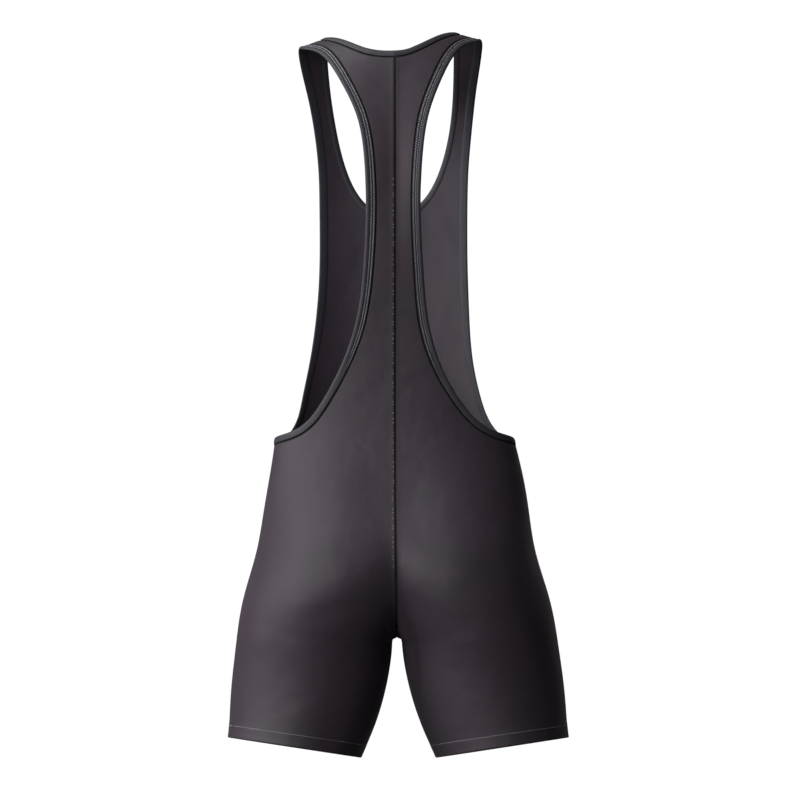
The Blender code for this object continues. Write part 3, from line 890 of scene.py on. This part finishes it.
def waves(tree, coordinates, direction, pitch, at):
    """Bands a pitch apart: Blender's wave repeats every 2 pi over 20 times its scale."""
    inputs = (("Vector", coordinates), ("Scale", 2 * np.pi / 20 / pitch), ("Distortion", 0))
    return add_node(tree, "ShaderNodeTexWave", at, inputs, bands_direction=direction).outputs["Fac"]


def mixed(tree, kind, first, second, at):
    """A maths node on two values, each a socket or a number."""
    node = add_node(tree, "ShaderNodeMath", at, operation=kind)
    fill(tree, node.inputs[0], first)
    fill(tree, node.inputs[1], second)
    return node.outputs[0]


def new_material(name):
    """A material with its node tree and its Principled shader, which every finish starts from."""
    material = bpy.data.materials.new(name)
    material.use_nodes = True
    return material, material.node_tree, material.node_tree.nodes["Principled BSDF"]


def two_tones(tree, at, fac, tones, positions=(0, 1)):
    """A colour ramp from one tone to the other between two positions."""
    ramp = add_node(tree, "ShaderNodeValToRGB", at, (("Fac", fac),))
    for element, position, tone in zip(ramp.color_ramp.elements, positions, tones):
        element.position, element.color = position, (*tone, 1)
    return ramp.outputs["Color"]


# %% Cloth and binding materials
WALE, COURSE, COURSE_SHARE, KNIT_RELIEF = 0.00055, 0.00042, 0.45, 0.00012
BINDING_WALE, BINDING_COURSE = 0.0008, 0.0006
CHARCOAL, MAUVE = (0.058, 0.050, 0.062), (0.069, 0.047, 0.067)
BINDING_GREY = (0.060, 0.056, 0.071)
DYE_CLOUDS = (("Scale", 9), ("Detail", 8), ("Roughness", 0.62))
DYE_FROM, DYE_TO, GLOSS_VARIES = 0.3, 0.7, 0.03
# SHADE_DARK is how far the painted shade in the seams and at the binding edges darkens the cloth's
# colour, and SHADE_MATT is how much rougher it makes them.
SHADE_DARK, SHADE_MATT = 0.06, 0.45
PULL_CLOUDS, PULL_RELIEF = (("Scale", 24), ("Detail", 2)), 0.0018


def knit_material(name, colour, other, roughness, bump, wale=WALE, course=COURSE):
    """A Principled shader: dye and gloss varied by noise, knit as bump, painted shade in the seam
    grooves, which are also matt.
    """
    material, tree, shader = new_material(name)
    shader.inputs["Metallic"].default_value = 0
    shader.inputs["Specular IOR Level"].default_value = 0.5
    shader.inputs["Sheen Weight"].default_value = 0.03
    shader.inputs["Sheen Roughness"].default_value = 0.5
    place = add_node(tree, "ShaderNodeTexCoord", (-1300, 0)).outputs
    at_point = ("Vector", place["Object"])
    noise = add_node(tree, "ShaderNodeTexNoise", (-1050, 150), (at_point, *DYE_CLOUDS)).outputs["Fac"]
    dye = two_tones(tree, (-800, 250), noise, (colour, other), (DYE_FROM, DYE_TO))
    # Painted shade: the seam_shade attribute mixes the colour towards near black in the seam grooves and
    # along the binding edges, where their shadows fall.
    shade = add_node(tree, "ShaderNodeAttribute", (-1050, 450), attribute_name="seam_shade")
    shade = shade.outputs["Fac"]
    dark = (*[SHADE_DARK * c for c in colour], 1)
    darkened = (("Factor", shade), ("A", dye), ("B", dark))
    cloth = add_node(tree, "ShaderNodeMix", (-500, 300), darkened, data_type="RGBA")
    low, high = roughness - GLOSS_VARIES, roughness + GLOSS_VARIES
    varied = (("Value", noise), ("To Min", low), ("To Max", high))
    gloss = add_node(tree, "ShaderNodeMapRange", (-800, 0), varied).outputs["Result"]
    matt = mixed(tree, "MULTIPLY", shade, SHADE_MATT, (-650, 480))
    upright = waves(tree, place["UV"], "X", wale, (-1050, -150))
    crossing = waves(tree, place["UV"], "Y", course, (-1050, -400))
    crossing = mixed(tree, "MULTIPLY", crossing, COURSE_SHARE, (-800, -400))
    knit = mixed(tree, "ADD", upright, crossing, (-600, -250))
    pull = add_node(tree, "ShaderNodeTexNoise", (-1050, -650), (at_point, *PULL_CLOUDS)).outputs["Fac"]
    uneven = (("Strength", 1), ("Distance", PULL_RELIEF), ("Height", pull))
    pulled = add_node(tree, "ShaderNodeBump", (-600, -600), uneven).outputs["Normal"]
    fine = (("Strength", bump), ("Distance", KNIT_RELIEF), ("Height", knit), ("Normal", pulled))
    relief = add_node(tree, "ShaderNodeBump", (-350, -250), fine).outputs["Normal"]
    fill(tree, shader.inputs["Base Color"], cloth.outputs["Result"])
    fill(tree, shader.inputs["Roughness"], mixed(tree, "ADD", gloss, matt, (-450, 0)))
    fill(tree, shader.inputs["Normal"], relief)
    return material


MATT, BODY_BUMP, BINDING_BUMP = 0.52, 0.35, 0.6
body_knit = knit_material("charcoal body knit", CHARCOAL, MAUVE, MATT, BODY_BUMP)
binding_look = BINDING_GREY, BINDING_GREY, MATT, BINDING_BUMP, BINDING_WALE, BINDING_COURSE
binding_knit = knit_material("binding knit", *binding_look)
print("nodes in the knit:", len(body_knit.node_tree.nodes))

# %% Thread materials
# The overlock thread is near black: a dark thread, darkened further as painted shade to match the shaded
# seam groove it lies in.
# The sewing thread's grey is far lighter than the cloth: partly the thread's own colour, partly painted
# highlight for the glints of the stitches.
THREAD_GREY_AND_GLINT, OVERLOCK_GREY_AND_SHADE = (0.60, 0.60, 0.66), (0.030, 0.028, 0.031)
TWIST, TWIST_DARK, TWIST_RELIEF = 0.0006, 0.75, 0.0001


def thread_material(name, colour):
    """Twisted polyester: a grey with a diagonal twist as tone and bump on object coordinates."""
    material, tree, shader = new_material(name)
    shader.inputs["Roughness"].default_value = 0.42
    shader.inputs["Sheen Weight"].default_value = 0.2
    place = add_node(tree, "ShaderNodeTexCoord", (-1000, 0)).outputs
    twist = waves(tree, place["Object"], "DIAGONAL", TWIST, (-800, -150))
    dark = [TWIST_DARK * c for c in colour]
    tone = two_tones(tree, (-550, 100), twist, (dark, colour))
    raised = (("Strength", 0.4), ("Distance", TWIST_RELIEF), ("Height", twist))
    relief = add_node(tree, "ShaderNodeBump", (-300, -200), raised).outputs["Normal"]
    fill(tree, shader.inputs["Base Color"], tone)
    fill(tree, shader.inputs["Normal"], relief)
    return material


thread = thread_material("sewing thread", THREAD_GREY_AND_GLINT)
seam_thread_grey = thread_material("overlock thread", OVERLOCK_GREY_AND_SHADE)
print("materials:", sorted(material.name for material in bpy.data.materials))

# %% [markdown]
# ## The two back panels and the front
#
# The back is two mirror pieces, sewn together down the middle. The front is one piece, so its two halves
# share their points along the middle, from the crotch to the neckline, and part only at the legs.

# %% Make the three panels
def mesh_arrays(outer, inner):
    """The points of both faces in one row, the outer face first."""
    return np.concatenate([outer.reshape(-1, 3), inner.reshape(-1, 3)])


def doubled(cloth_uv, shade):
    """The coordinates and the shade again for the inner face, where nothing is darkened."""
    flat = cloth_uv.reshape(-1, 2)
    return np.concatenate([flat, flat]), np.concatenate([shade.ravel(), 0 * shade.ravel()])


def back_panel(name, side):
    """One back panel: the left half as it is, or mirrored for the right."""
    outer, inner, cloth_uv, shade = panel_wall(back_grid, BACK, side)
    points = mesh_arrays(outer, inner)
    points[:, 0] *= side
    quads = closed_wall(outer, side == RIGHT)
    return new_piece(name, posed(points), quads, body_knit, *doubled(cloth_uv, shade)), area_of(outer)


def front_panel(name):
    """The front: the left half and the right half, whose middle points are the left half's own."""
    outer, inner, cloth_uv, shade = panel_wall(front_grid, FRONT, LEFT)
    rows, columns = outer.shape[:2]
    points, others = mesh_arrays(outer, inner), mesh_arrays(*panel_wall(front_grid, FRONT, RIGHT)[:2])
    neck_row = rows - STRETCHES[FRONT][2]
    shared = slice(CROTCH_ROW, neck_row + 1)
    count = len(points)
    left = closed_wall(outer, True, shared)
    right = closed_wall(outer, False, shared) + count
    same = (np.arange(shared.start, shared.stop)[:, None] * columns + [0, rows * columns]).ravel()
    number = np.arange(2 * count)
    number[same + count] = same
    kept, number = np.unique(number, return_inverse=True)
    both = np.concatenate([points, others * MIRROR])[kept]
    cloth_uv, shade = (np.concatenate([half, half])[kept] for half in doubled(cloth_uv, shade))
    quads = number[np.concatenate([left, right])]
    return new_piece(name, posed(both), quads, body_knit, cloth_uv, shade), 2 * area_of(outer)


back_left, back_area = back_panel("left_back_panel", LEFT)
back_right, _ = back_panel("right_back_panel", RIGHT)
front, front_area = front_panel("front_panel")
for piece, node in ((back_left, "back_left"), (back_right, "back_right"), (front, "front")):
    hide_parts(node)
print("back panel:", round(back_area, 4), "m2, front:", round(front_area, 4), "m2")
print("faces:", [len(piece.data.polygons) for piece in (back_left, back_right, front)])

# %% [markdown]
# ## Bindings
#
# Neck and armholes are bound with a folded strip of the same knit. Its outer edge is a soft roll, and on
# the armholes two rows of stitches press its inner part flat. Under the arm the strip is pulled
# narrower, and there it turns into a plain band. A section is carried along each edge, a ring of points
# at every station, and the rings are joined. A curve with a bevel would do for a cord, but it can't keep
# a flat strip lying on the cloth as the edge turns.

# %% The bindings' sections
# Each corner is how far across the width it lies, how far out from the cloth, and how much painted shade
# it gets: the lines beside the rows of stitches and the inner edge are darkened for their shadows.
ARM_SECTION = (
    (0.000, 0.00000, 0.0), (0.012, 0.00050, 0.0), (0.050, 0.00098, 0.0), (0.130, 0.00136, 0.0),
    (0.250, 0.00156, 0.0), (0.330, 0.00150, 0.0), (0.430, 0.00122, 0.0), (0.505, 0.00092, 0.9),
    (0.575, 0.00070, 0.2), (0.640, 0.00088, 0.0), (0.715, 0.00108, 0.8), (0.790, 0.00090, 0.0),
    (0.845, 0.00070, 0.0), (0.895, 0.00088, 0.0), (0.945, 0.00100, 0.0), (0.985, 0.00080, 1.0),
    (1.000, 0.00035, 1.0), (1.000, -0.00060, 1.0), (0.940, -0.00098, 0.0), (0.600, -0.00104, 0.0),
    (0.250, -0.00108, 0.0), (0.060, -0.00084, 0.0), (0.012, -0.00045, 0.0),
)
NECK_SECTION = (
    (0.000, 0.00000, 0.0), (0.015, 0.00050, 0.0), (0.070, 0.00098, 0.0), (0.180, 0.00134, 0.0),
    (0.340, 0.00152, 0.0), (0.520, 0.00150, 0.0), (0.700, 0.00136, 0.0), (0.850, 0.00118, 0.0),
    (0.940, 0.00094, 0.0), (0.985, 0.00060, 1.0), (1.000, 0.00015, 1.0), (1.000, -0.00060, 1.0),
    (0.900, -0.00100, 0.0), (0.500, -0.00108, 0.0), (0.080, -0.00086, 0.0), (0.012, -0.00045, 0.0),
)
INNER_FACE, EDGE_ACROSS = -0.0003, 0.975


def outer_out(table, across):
    """How far out a section's outer face is at a share of its width, read between its corners."""
    table = np.array(table)
    table = table[table[:, 1] > INNER_FACE]
    return float(np.interp(across, table[:, 0], table[:, 1]))


def plain_out(across, out):
    """The same corner on a plain band: its outer face is the neck section's, its inner face stays."""
    return outer_out(NECK_SECTION, across) if out > INNER_FACE else out


print("the armhole binding's roll, in mm:", round(1000 * outer_out(ARM_SECTION, 0.25), 2))

# %% Carry the sections along the edges
ARM_STATIONS, NECK_STATIONS = 640, {BACK: 90, FRONT: 180}


def at_stations(edge, stations):
    """An edge's places and directions at chosen samples only."""
    return edge[0][stations], edge[1][stations]


def carried(edge, stations, table, width, cloth_side, full=1):
    """One ring of the section for each station: across the cloth, and out along its normal.

    Where the strip is pulled narrow, full falls to 0 and the section turns into a plain band."""
    rings = []
    for across, out, _ in table:
        line = inset(at_stations(edge, stations), width * across, cloth_side)
        up = np.broadcast_to(full * out + (1 - full) * plain_out(across, out) - WALL / 2, len(stations))
        rings.append(half_surface(line) + up[:, None] * normal(line))
    return np.stack(rings, 1)


def ring_piece(name, rings, table, flip, fade=1):
    """A closed strip of rings whose last joins its first, with the section as its cloth coordinates.

    The painted shade lines beside its stitches fade where the strip is pulled narrow, but the painted
    shade at its edge stays."""
    stations, corners = rings.shape[:2]
    index = np.arange(stations * corners).reshape(stations, corners)
    index = np.concatenate([index, index[:1]])
    index = np.concatenate([index, index[:, :1]], 1)
    along = running(np.concatenate([rings, rings[:1]]), 0)[:-1, 0]
    across = running(rings[:1], 1)[0]
    cloth_uv = np.stack(np.broadcast_arrays(along[:, None], across[None]), -1).reshape(-1, 2)
    # The section's third column is painted shade, for the shadowed lines beside the stitches and at the
    # inner edge.
    place, _, dark = np.array(table).T
    fade = np.broadcast_to(fade, stations)[:, None]
    shade = np.where(place > EDGE_ACROSS, dark, dark * fade).ravel()
    quads = turned_round(grid_quads(index), flip)
    return new_piece(name, posed(rings.reshape(-1, 3)), quads, binding_knit, cloth_uv, shade)


arm_widths = arm_width(half_surface(armhole_edge[0]))
stations = spread(armhole_edge[0], ARM_STATIONS)
arm_full = (arm_widths[stations] - ARM_NARROW) / (ARM_WIDE - ARM_NARROW)
arm_rings = carried(armhole_edge, stations, ARM_SECTION, arm_widths[stations], -1, arm_full)[:-1]
arm_full = arm_full[:-1]
arm_left = ring_piece("left_armhole_binding", arm_rings, ARM_SECTION, False, arm_full)
arm_right = ring_piece("right_armhole_binding", arm_rings * MIRROR, ARM_SECTION, True, arm_full)
neck_rings = []
for face in (BACK, FRONT):
    stations = spread(neck_edges[face][0], NECK_STATIONS[face])
    rings = carried(neck_edges[face], stations, NECK_SECTION, NECK_BINDING, -face)
    rings[0, :, 0] = 0
    neck_rings.append(rings)
half_neck = np.concatenate([neck_rings[0], neck_rings[1][-2::-1]])
whole_neck = np.concatenate([half_neck, (half_neck * MIRROR)[-2:0:-1]])
neck = ring_piece("neckline_binding", whole_neck, NECK_SECTION, False)
binding_nodes = "armhole_binding_left", "armhole_binding_right", "neck_binding"
for piece, node in zip((arm_left, arm_right, neck), binding_nodes):
    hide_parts(node)
print("binding faces:", [len(piece.data.polygons) for piece in (arm_left, arm_right, neck)])

# %% [markdown]
# ## Stitches
#
# A stitch is a short bead of thread that dives into the cloth at both ends. One small bead, six-sided
# and four rings long, is copied to every place along a row by array sums: its centre, plus its length
# along the row, plus its width and height. A row of real beads catches the light as thread does, which a
# painted line wouldn't. Two rows hold each armhole binding and one row each hem. The back seam shows
# uneven dots to one side, and the rungs of the overlock lie across it, deep in the groove.

# %% Rows of beads
STITCH_PITCH, STITCH_LENGTH, STITCH_WIDTH, STITCH_HEIGHT = 0.0029, 0.0020, 0.00042, 0.00032
BEAD_RINGS = np.array([[-0.5, 0.30], [-0.28, 1.0], [0.28, 1.0], [0.5, 0.30]])
BEAD_SIDES, UNEVEN_TURN = 6, 2.4


def beads(places, out, pitch=STITCH_PITCH, turned=False, size=1, uneven=0):
    """Beads every pitch along a route of places, or turned across it: (n, rings, sides, 3) points."""
    points = half_surface(places)
    run = running(points, 0)
    count = max(int(run[-1] / pitch), 1)
    number = np.arange(count)
    along_run = (number + 0.5 + uneven * np.sin(UNEVEN_TURN * number)) * pitch
    at = np.rint(np.interp(along_run, run, np.arange(len(run)))).astype(int)
    at = np.clip(at, 1, len(run) - 2)
    along = unit(points[at + 1] - points[at - 1])
    up = normal(places[at])
    side = np.cross(along, up)
    if turned:
        along, side = side, -along
    centre = points[at] + out * up
    turn = np.arange(BEAD_SIDES) * 2 * np.pi / BEAD_SIDES
    lengthwise = BEAD_RINGS[:, 0, None] * STITCH_LENGTH + 0 * turn
    sideways = BEAD_RINGS[:, 1, None] * np.cos(turn) * STITCH_WIDTH
    upwards = BEAD_RINGS[:, 1, None] * np.sin(turn) * STITCH_HEIGHT
    parts = zip((lengthwise, sideways, upwards), (along, side, up))
    bead = sum(size * amount[None, ..., None] * axis[:, None, None] for amount, axis in parts)
    return centre[:, None, None] + bead


def capped_quads(stations):
    """Faces of a strip with six corners: bands between its rings, and two faces over each end."""
    index = np.arange(stations * 6).reshape(stations, 6)
    bands = grid_quads(np.concatenate([index, index[:, :1]], 1))
    ends = np.array([[0, 1, 2, 3], [0, 3, 4, 5]])
    return np.concatenate([bands, index[0][ends], index[-1][ends][:, ::-1]])


def on_sides(points, quads, sides=(LEFT, RIGHT)):
    """Points and faces on the left half, or mirrored and turned round on the right, or both."""
    copies, faces = [], []
    for i, side in enumerate(sides):
        copies.append(points * MIRROR if side == RIGHT else points)
        faces.append((quads[:, ::-1] if side == RIGHT else quads) + i * len(points))
    return np.concatenate(copies), np.concatenate(faces)


def stitched(name, rows, sides=(LEFT, RIGHT), material=thread):
    """A piece of thread from rows of beads, on the left half, the right half or both."""
    points = np.concatenate(rows).reshape(-1, 3)
    corners = len(BEAD_RINGS) * BEAD_SIDES
    starts = np.arange(len(points) // corners) * corners
    quads = (capped_quads(len(BEAD_RINGS)) + starts[:, None, None]).reshape(-1, 4)
    points, quads = on_sides(points, quads, sides)
    piece = new_piece(name, posed(points), quads, material)
    return piece


print("faces of one bead:", len(capped_quads(len(BEAD_RINGS))))

# %% Stitch the armhole bindings
STITCH_ACROSS = (0.575, 0.845)
arm_rows = [
    beads(inset(armhole_edge, arm_widths * share, -1), outer_out(ARM_SECTION, share) - WALL / 2)
    for share in STITCH_ACROSS
]
arm_thread_left = stitched("left_armhole_stitches", arm_rows, (LEFT,))
arm_thread_right = stitched("right_armhole_stitches", arm_rows, (RIGHT,))
print("stitches on each armhole:", sum(len(row) for row in arm_rows))

# %% Stitch the back seam
DOTS_FROM, DOTS_TO, DOTS_INSET = -0.618, -0.165, 0.0034
DOTS = {"pitch": 0.0071, "size": 0.70, "uneven": 0.30}
RUNGS_OUT, ABOVE_CROTCH = -0.0006, 0.004
RUNGS = {"pitch": 0.0031, "turned": True, "size": 0.85, "uneven": 0.08}
seam_top = float(back_grid[-STRETCHES[BACK][2], 0, 1]) + BLADES
seam_line = middle_route(BACK, CROTCH + ABOVE_CROTCH, seam_top)
seam_points, seam_height = half_surface(seam_line), seam_line[:, 1] + BLADES
seam_edge = seam_line, directions(seam_points, seam_points[0], seam_points[-1])
shown_edge = at_stations(seam_edge, (seam_height > DOTS_FROM) & (seam_height < DOTS_TO))
dots = beads(inset(shown_edge, DOTS_INSET, -1), float(seam_relief(DOTS_INSET)), **DOTS)
rungs = beads(seam_line, RUNGS_OUT, **RUNGS)
seam_thread = stitched("back_seam_stitches", [dots], (LEFT,))
rung_thread = stitched("back_seam_overlock", [rungs], (LEFT,), seam_thread_grey)
print("dots and rungs:", len(dots), len(rungs))

# %% Stitch the hems
HEM_STITCH_OUT, HEM_STITCH_SIZE = 0.0001, 0.85


def hem_row(face):
    """The row of stitches round half a hem: the grid's row that lies nearest to their height."""
    from_hem = running(half_surface(back_grid[:HEM_ROWS]), 0)[:, 0]
    row = int(np.argmin(np.abs(from_hem - HEM_STITCHES)))
    grid = back_grid if face == BACK else front_grid
    share = np.linspace(0, COLUMNS - 1, ROUTE_SAMPLES)
    return np.stack([np.interp(share, np.arange(COLUMNS), grid[row, :, i]) for i in (0, 1)], -1)


stitch_out = float(hem_relief(HEM_STITCHES)) + HEM_STITCH_OUT
hem_rows = [beads(hem_row(face), stitch_out, size=HEM_STITCH_SIZE) for face in (BACK, FRONT)]
hem_thread = stitched("hem_stitches", hem_rows)
print("stitches in the hems:", 2 * sum(len(row) for row in hem_rows))

# %% [markdown]
# ## Seam allowances
#
# Inside every seam, the two cut edges are overlocked together and stand as a narrow double strip. It
# shows through the armholes. Each is a flat strip just inside the wall, half of it on each panel. In the
# back seam and the side seams it starts just past the seam, so that no light comes through between the
# panels. In the inseams it doesn't, because there it would stick out of the leg.

# %% Strips inside the seams
ALLOWANCE, ALLOWANCE_WALL = 0.0045, 0.0008
ALLOWANCE_SECTION = ((-0.08, 0.0), (0.75, 0.0), (1.0, -0.35), (1.0, -0.75), (0.75, -1.0), (-0.08, -1.0))
ALLOWANCE_STATIONS = 160
SHORT_OF_NECK, SHORT_OF_CROTCH, SHORT_OF_ARM = 0.003, 0.001, 0.0025


def allowance(route, cloth_side, over):
    """A strip inside the wall along a route: a row of points for each corner of its section.

    Where over is 1 it starts just past the seam, so that the two halves close the gap between them."""
    points = half_surface(route)
    edge = route, directions(points, 2 * points[0] - points[1], 2 * points[-1] - points[-2])
    edge = at_stations(edge, spread(route, ALLOWANCE_STATIONS))
    rings = []
    for across, out in ALLOWANCE_SECTION:
        line = inset(edge, ALLOWANCE * (max(across, 0) + over * min(across, 0)), cloth_side)
        rings.append(half_surface(line) + (out * ALLOWANCE_WALL - WALL) * normal(line))
    return np.stack(rings, 1)


nape = float(neck_edges[BACK][0][0, 1]) + BLADES - SHORT_OF_NECK
routes = [(middle_route(BACK, CROTCH + SHORT_OF_CROTCH, nape), -1, 1)]
for face in (BACK, FRONT):
    routes.append((side_route(face, HEM + HEM_DEPTH, UNDERARM - SHORT_OF_ARM), face, 1))
    routes.append((middle_route(face, HEM + HEM_DEPTH, CROTCH - SHORT_OF_CROTCH), -face, 0))
strips = [allowance(*each).reshape(-1, 3) for each in routes]
quads = capped_quads(ALLOWANCE_STATIONS)
half_quads = [
    (quads if cloth_side < 0 else quads[:, ::-1]) + i * len(strips[0])
    for i, (_, cloth_side, _) in enumerate(routes)
]
points, quads = on_sides(np.concatenate(strips), np.concatenate(half_quads))
allowances = new_piece("seam_allowances", posed(points), quads, binding_knit)
print("allowance strips:", 2 * len(strips))

# %% [markdown]
# ## The cut
#
# A stretch garment is cut smaller than the figure. The size each panel was cut to, before it was sewn
# and pulled on, is worked out: its widest row and its longest column, each less the stretch.

STRETCH_ROUND, STRETCH_LONG = 1.14, 1.04


def cut_size(grid, halves):
    """Widest row and longest column of a panel, and how they shrink without the stretch."""
    points = half_surface(grid)
    widest, longest = running(points, 1)[:, -1].max(), running(points, 0)[-1].max()
    return halves * float(widest) / STRETCH_ROUND, float(longest) / STRETCH_LONG


back_cut, front_cut = cut_size(back_grid, 1), cut_size(front_grid, 2)

# %% [markdown]
# ## Stage
#
# The stage is a pale floor that curves up into a round wall far away, so that every view has a plain
# ground. It glows by itself and is kept out of the cloth's light and reflections, because a bright wall
# would give the cloth bright rims, and the real one's are dark.

# %% Set the stage
STAGE_FLOOR, STAGE_RADIUS, STAGE_BEND, STAGE_TOP = -1.25, 9.0, 2.5, 7.0
# The floor starts a hair off the middle, so that its innermost faces still have four corners.
STAGE_FLAT, STAGE_STEPS, STAGE_TURNS = [1e-5, 2, 4], 12, 96


def make_stage():
    """A profile of floor, quarter bend and wall, turned round the vertical axis."""
    turn = np.linspace(0, np.pi / 2, STAGE_STEPS)
    bend_across = STAGE_RADIUS - STAGE_BEND * (1 - np.sin(turn))
    across = np.concatenate([STAGE_FLAT, bend_across, [STAGE_RADIUS]])
    up = np.concatenate([[0, 0, 0], STAGE_BEND * (1 - np.cos(turn)), [STAGE_TOP]]) + STAGE_FLOOR
    around = np.linspace(0, 2 * np.pi, STAGE_TURNS + 1)[:-1, None]
    points = np.stack([across * np.cos(around), across * np.sin(around), up + 0 * around], -1)
    index = np.arange(points[..., 0].size).reshape(points.shape[:2])
    quads = grid_quads(np.concatenate([index, index[:1]]))
    mesh = bpy.data.meshes.new("stage")
    mesh.from_pydata(points.reshape(-1, 3).tolist(), [], quads.tolist())
    mesh.shade_smooth()
    material, _, shader = new_material("pale stage")
    shader.inputs["Base Color"].default_value = (0.25, 0.25, 0.25, 1)
    shader.inputs["Roughness"].default_value = 0.9
    shader.inputs["Specular IOR Level"].default_value = 0.1
    shader.inputs["Emission Color"].default_value = (1, 1, 1, 1)
    shader.inputs["Emission Strength"].default_value = 1.0
    mesh.materials.append(material)
    stage = bpy.data.objects.new("stage", mesh)
    bpy.context.scene.collection.objects.link(stage)
    stage.visible_diffuse = False
    stage.visible_glossy = False
    stage.visible_shadow = False
    return stage


stage = make_stage()
print("faces of the stage:", len(stage.data.polygons))

# %% [markdown]
# ## Lights
#
# The key is a soft square light to the left of the camera. Two more stand far round on the same side,
# one low and one high, and their grazing shine draws the left edge. The other two light the front for
# the views from there. They are kept out of reflections, so they don't show on the back's edges.

# %% Lights
MIDDLE, LIGHT_DISTANCE, BESIDE = (0, 0, -0.45), 4.0, 90
# Each row is a name, the angle round from behind, the angle up, the size and the energy.
LIGHTS = (
    ("key, left of the camera", 33, 8, 1.6, 58),
    ("low light at the left side", 75, 8, 1.6, 57),
    ("high light at the left side", 75, 58, 1.6, 76),
    ("soft light on the front", 160, 14, 2.2, 80),
    ("soft light on the front's right", -148, 16, 2.2, 85),
)


def area_light(name, location, target, size, energy):
    """A square soft light that looks at a target."""
    data = bpy.data.lights.new(name, "AREA")
    data.size = size
    data.energy = energy
    light = bpy.data.objects.new(name, data)
    bpy.context.scene.collection.objects.link(light)
    light.location = location
    aim = np.array(target) - np.array(location)
    light.rotation_euler = Vector(aim).to_track_quat("-Z", "Y").to_euler()
    return light


for name, azimuth, elevation, size, energy in LIGHTS:
    around, up = np.radians(azimuth), np.radians(elevation)
    way = np.array([np.sin(around) * np.cos(up), np.cos(around) * np.cos(up), np.sin(up)])
    light = area_light(name, MIDDLE + LIGHT_DISTANCE * way, MIDDLE, size, energy)
    light.visible_glossy = abs(azimuth) < BESIDE

ROOM_TINT, ROOM_LIGHT = (1.0, 0.97, 0.98, 1), 0.035
world = bpy.data.worlds.new("dim room")
world.use_nodes = True
background = world.node_tree.nodes["Background"]
background.inputs["Color"].default_value = ROOM_TINT
background.inputs["Strength"].default_value = ROOM_LIGHT
bpy.context.scene.world = world
bpy.context.scene.view_settings.view_transform = "Standard"
print("lights:", len(LIGHTS))

# %% [markdown]
# ## Camera
#
# The photograph is taken straight from behind and from some way off, so the camera stands 5 m back with
# a long lens, level and square to the garment.

# %% Set the camera
CAMERA_AT, CAMERA_LENS, CAMERA_REACH = (-0.0053, 5.0, -0.4235), 192.3, 40
camera_data = bpy.data.cameras.new("camera")
camera_data.lens = CAMERA_LENS
camera_data.clip_end = CAMERA_REACH
camera = bpy.data.objects.new("camera", camera_data)
camera.location = CAMERA_AT
camera.rotation_euler = (np.pi / 2, 0, np.pi)
bpy.context.scene.collection.objects.link(camera)
bpy.context.scene.camera = camera
print("camera at", CAMERA_AT)
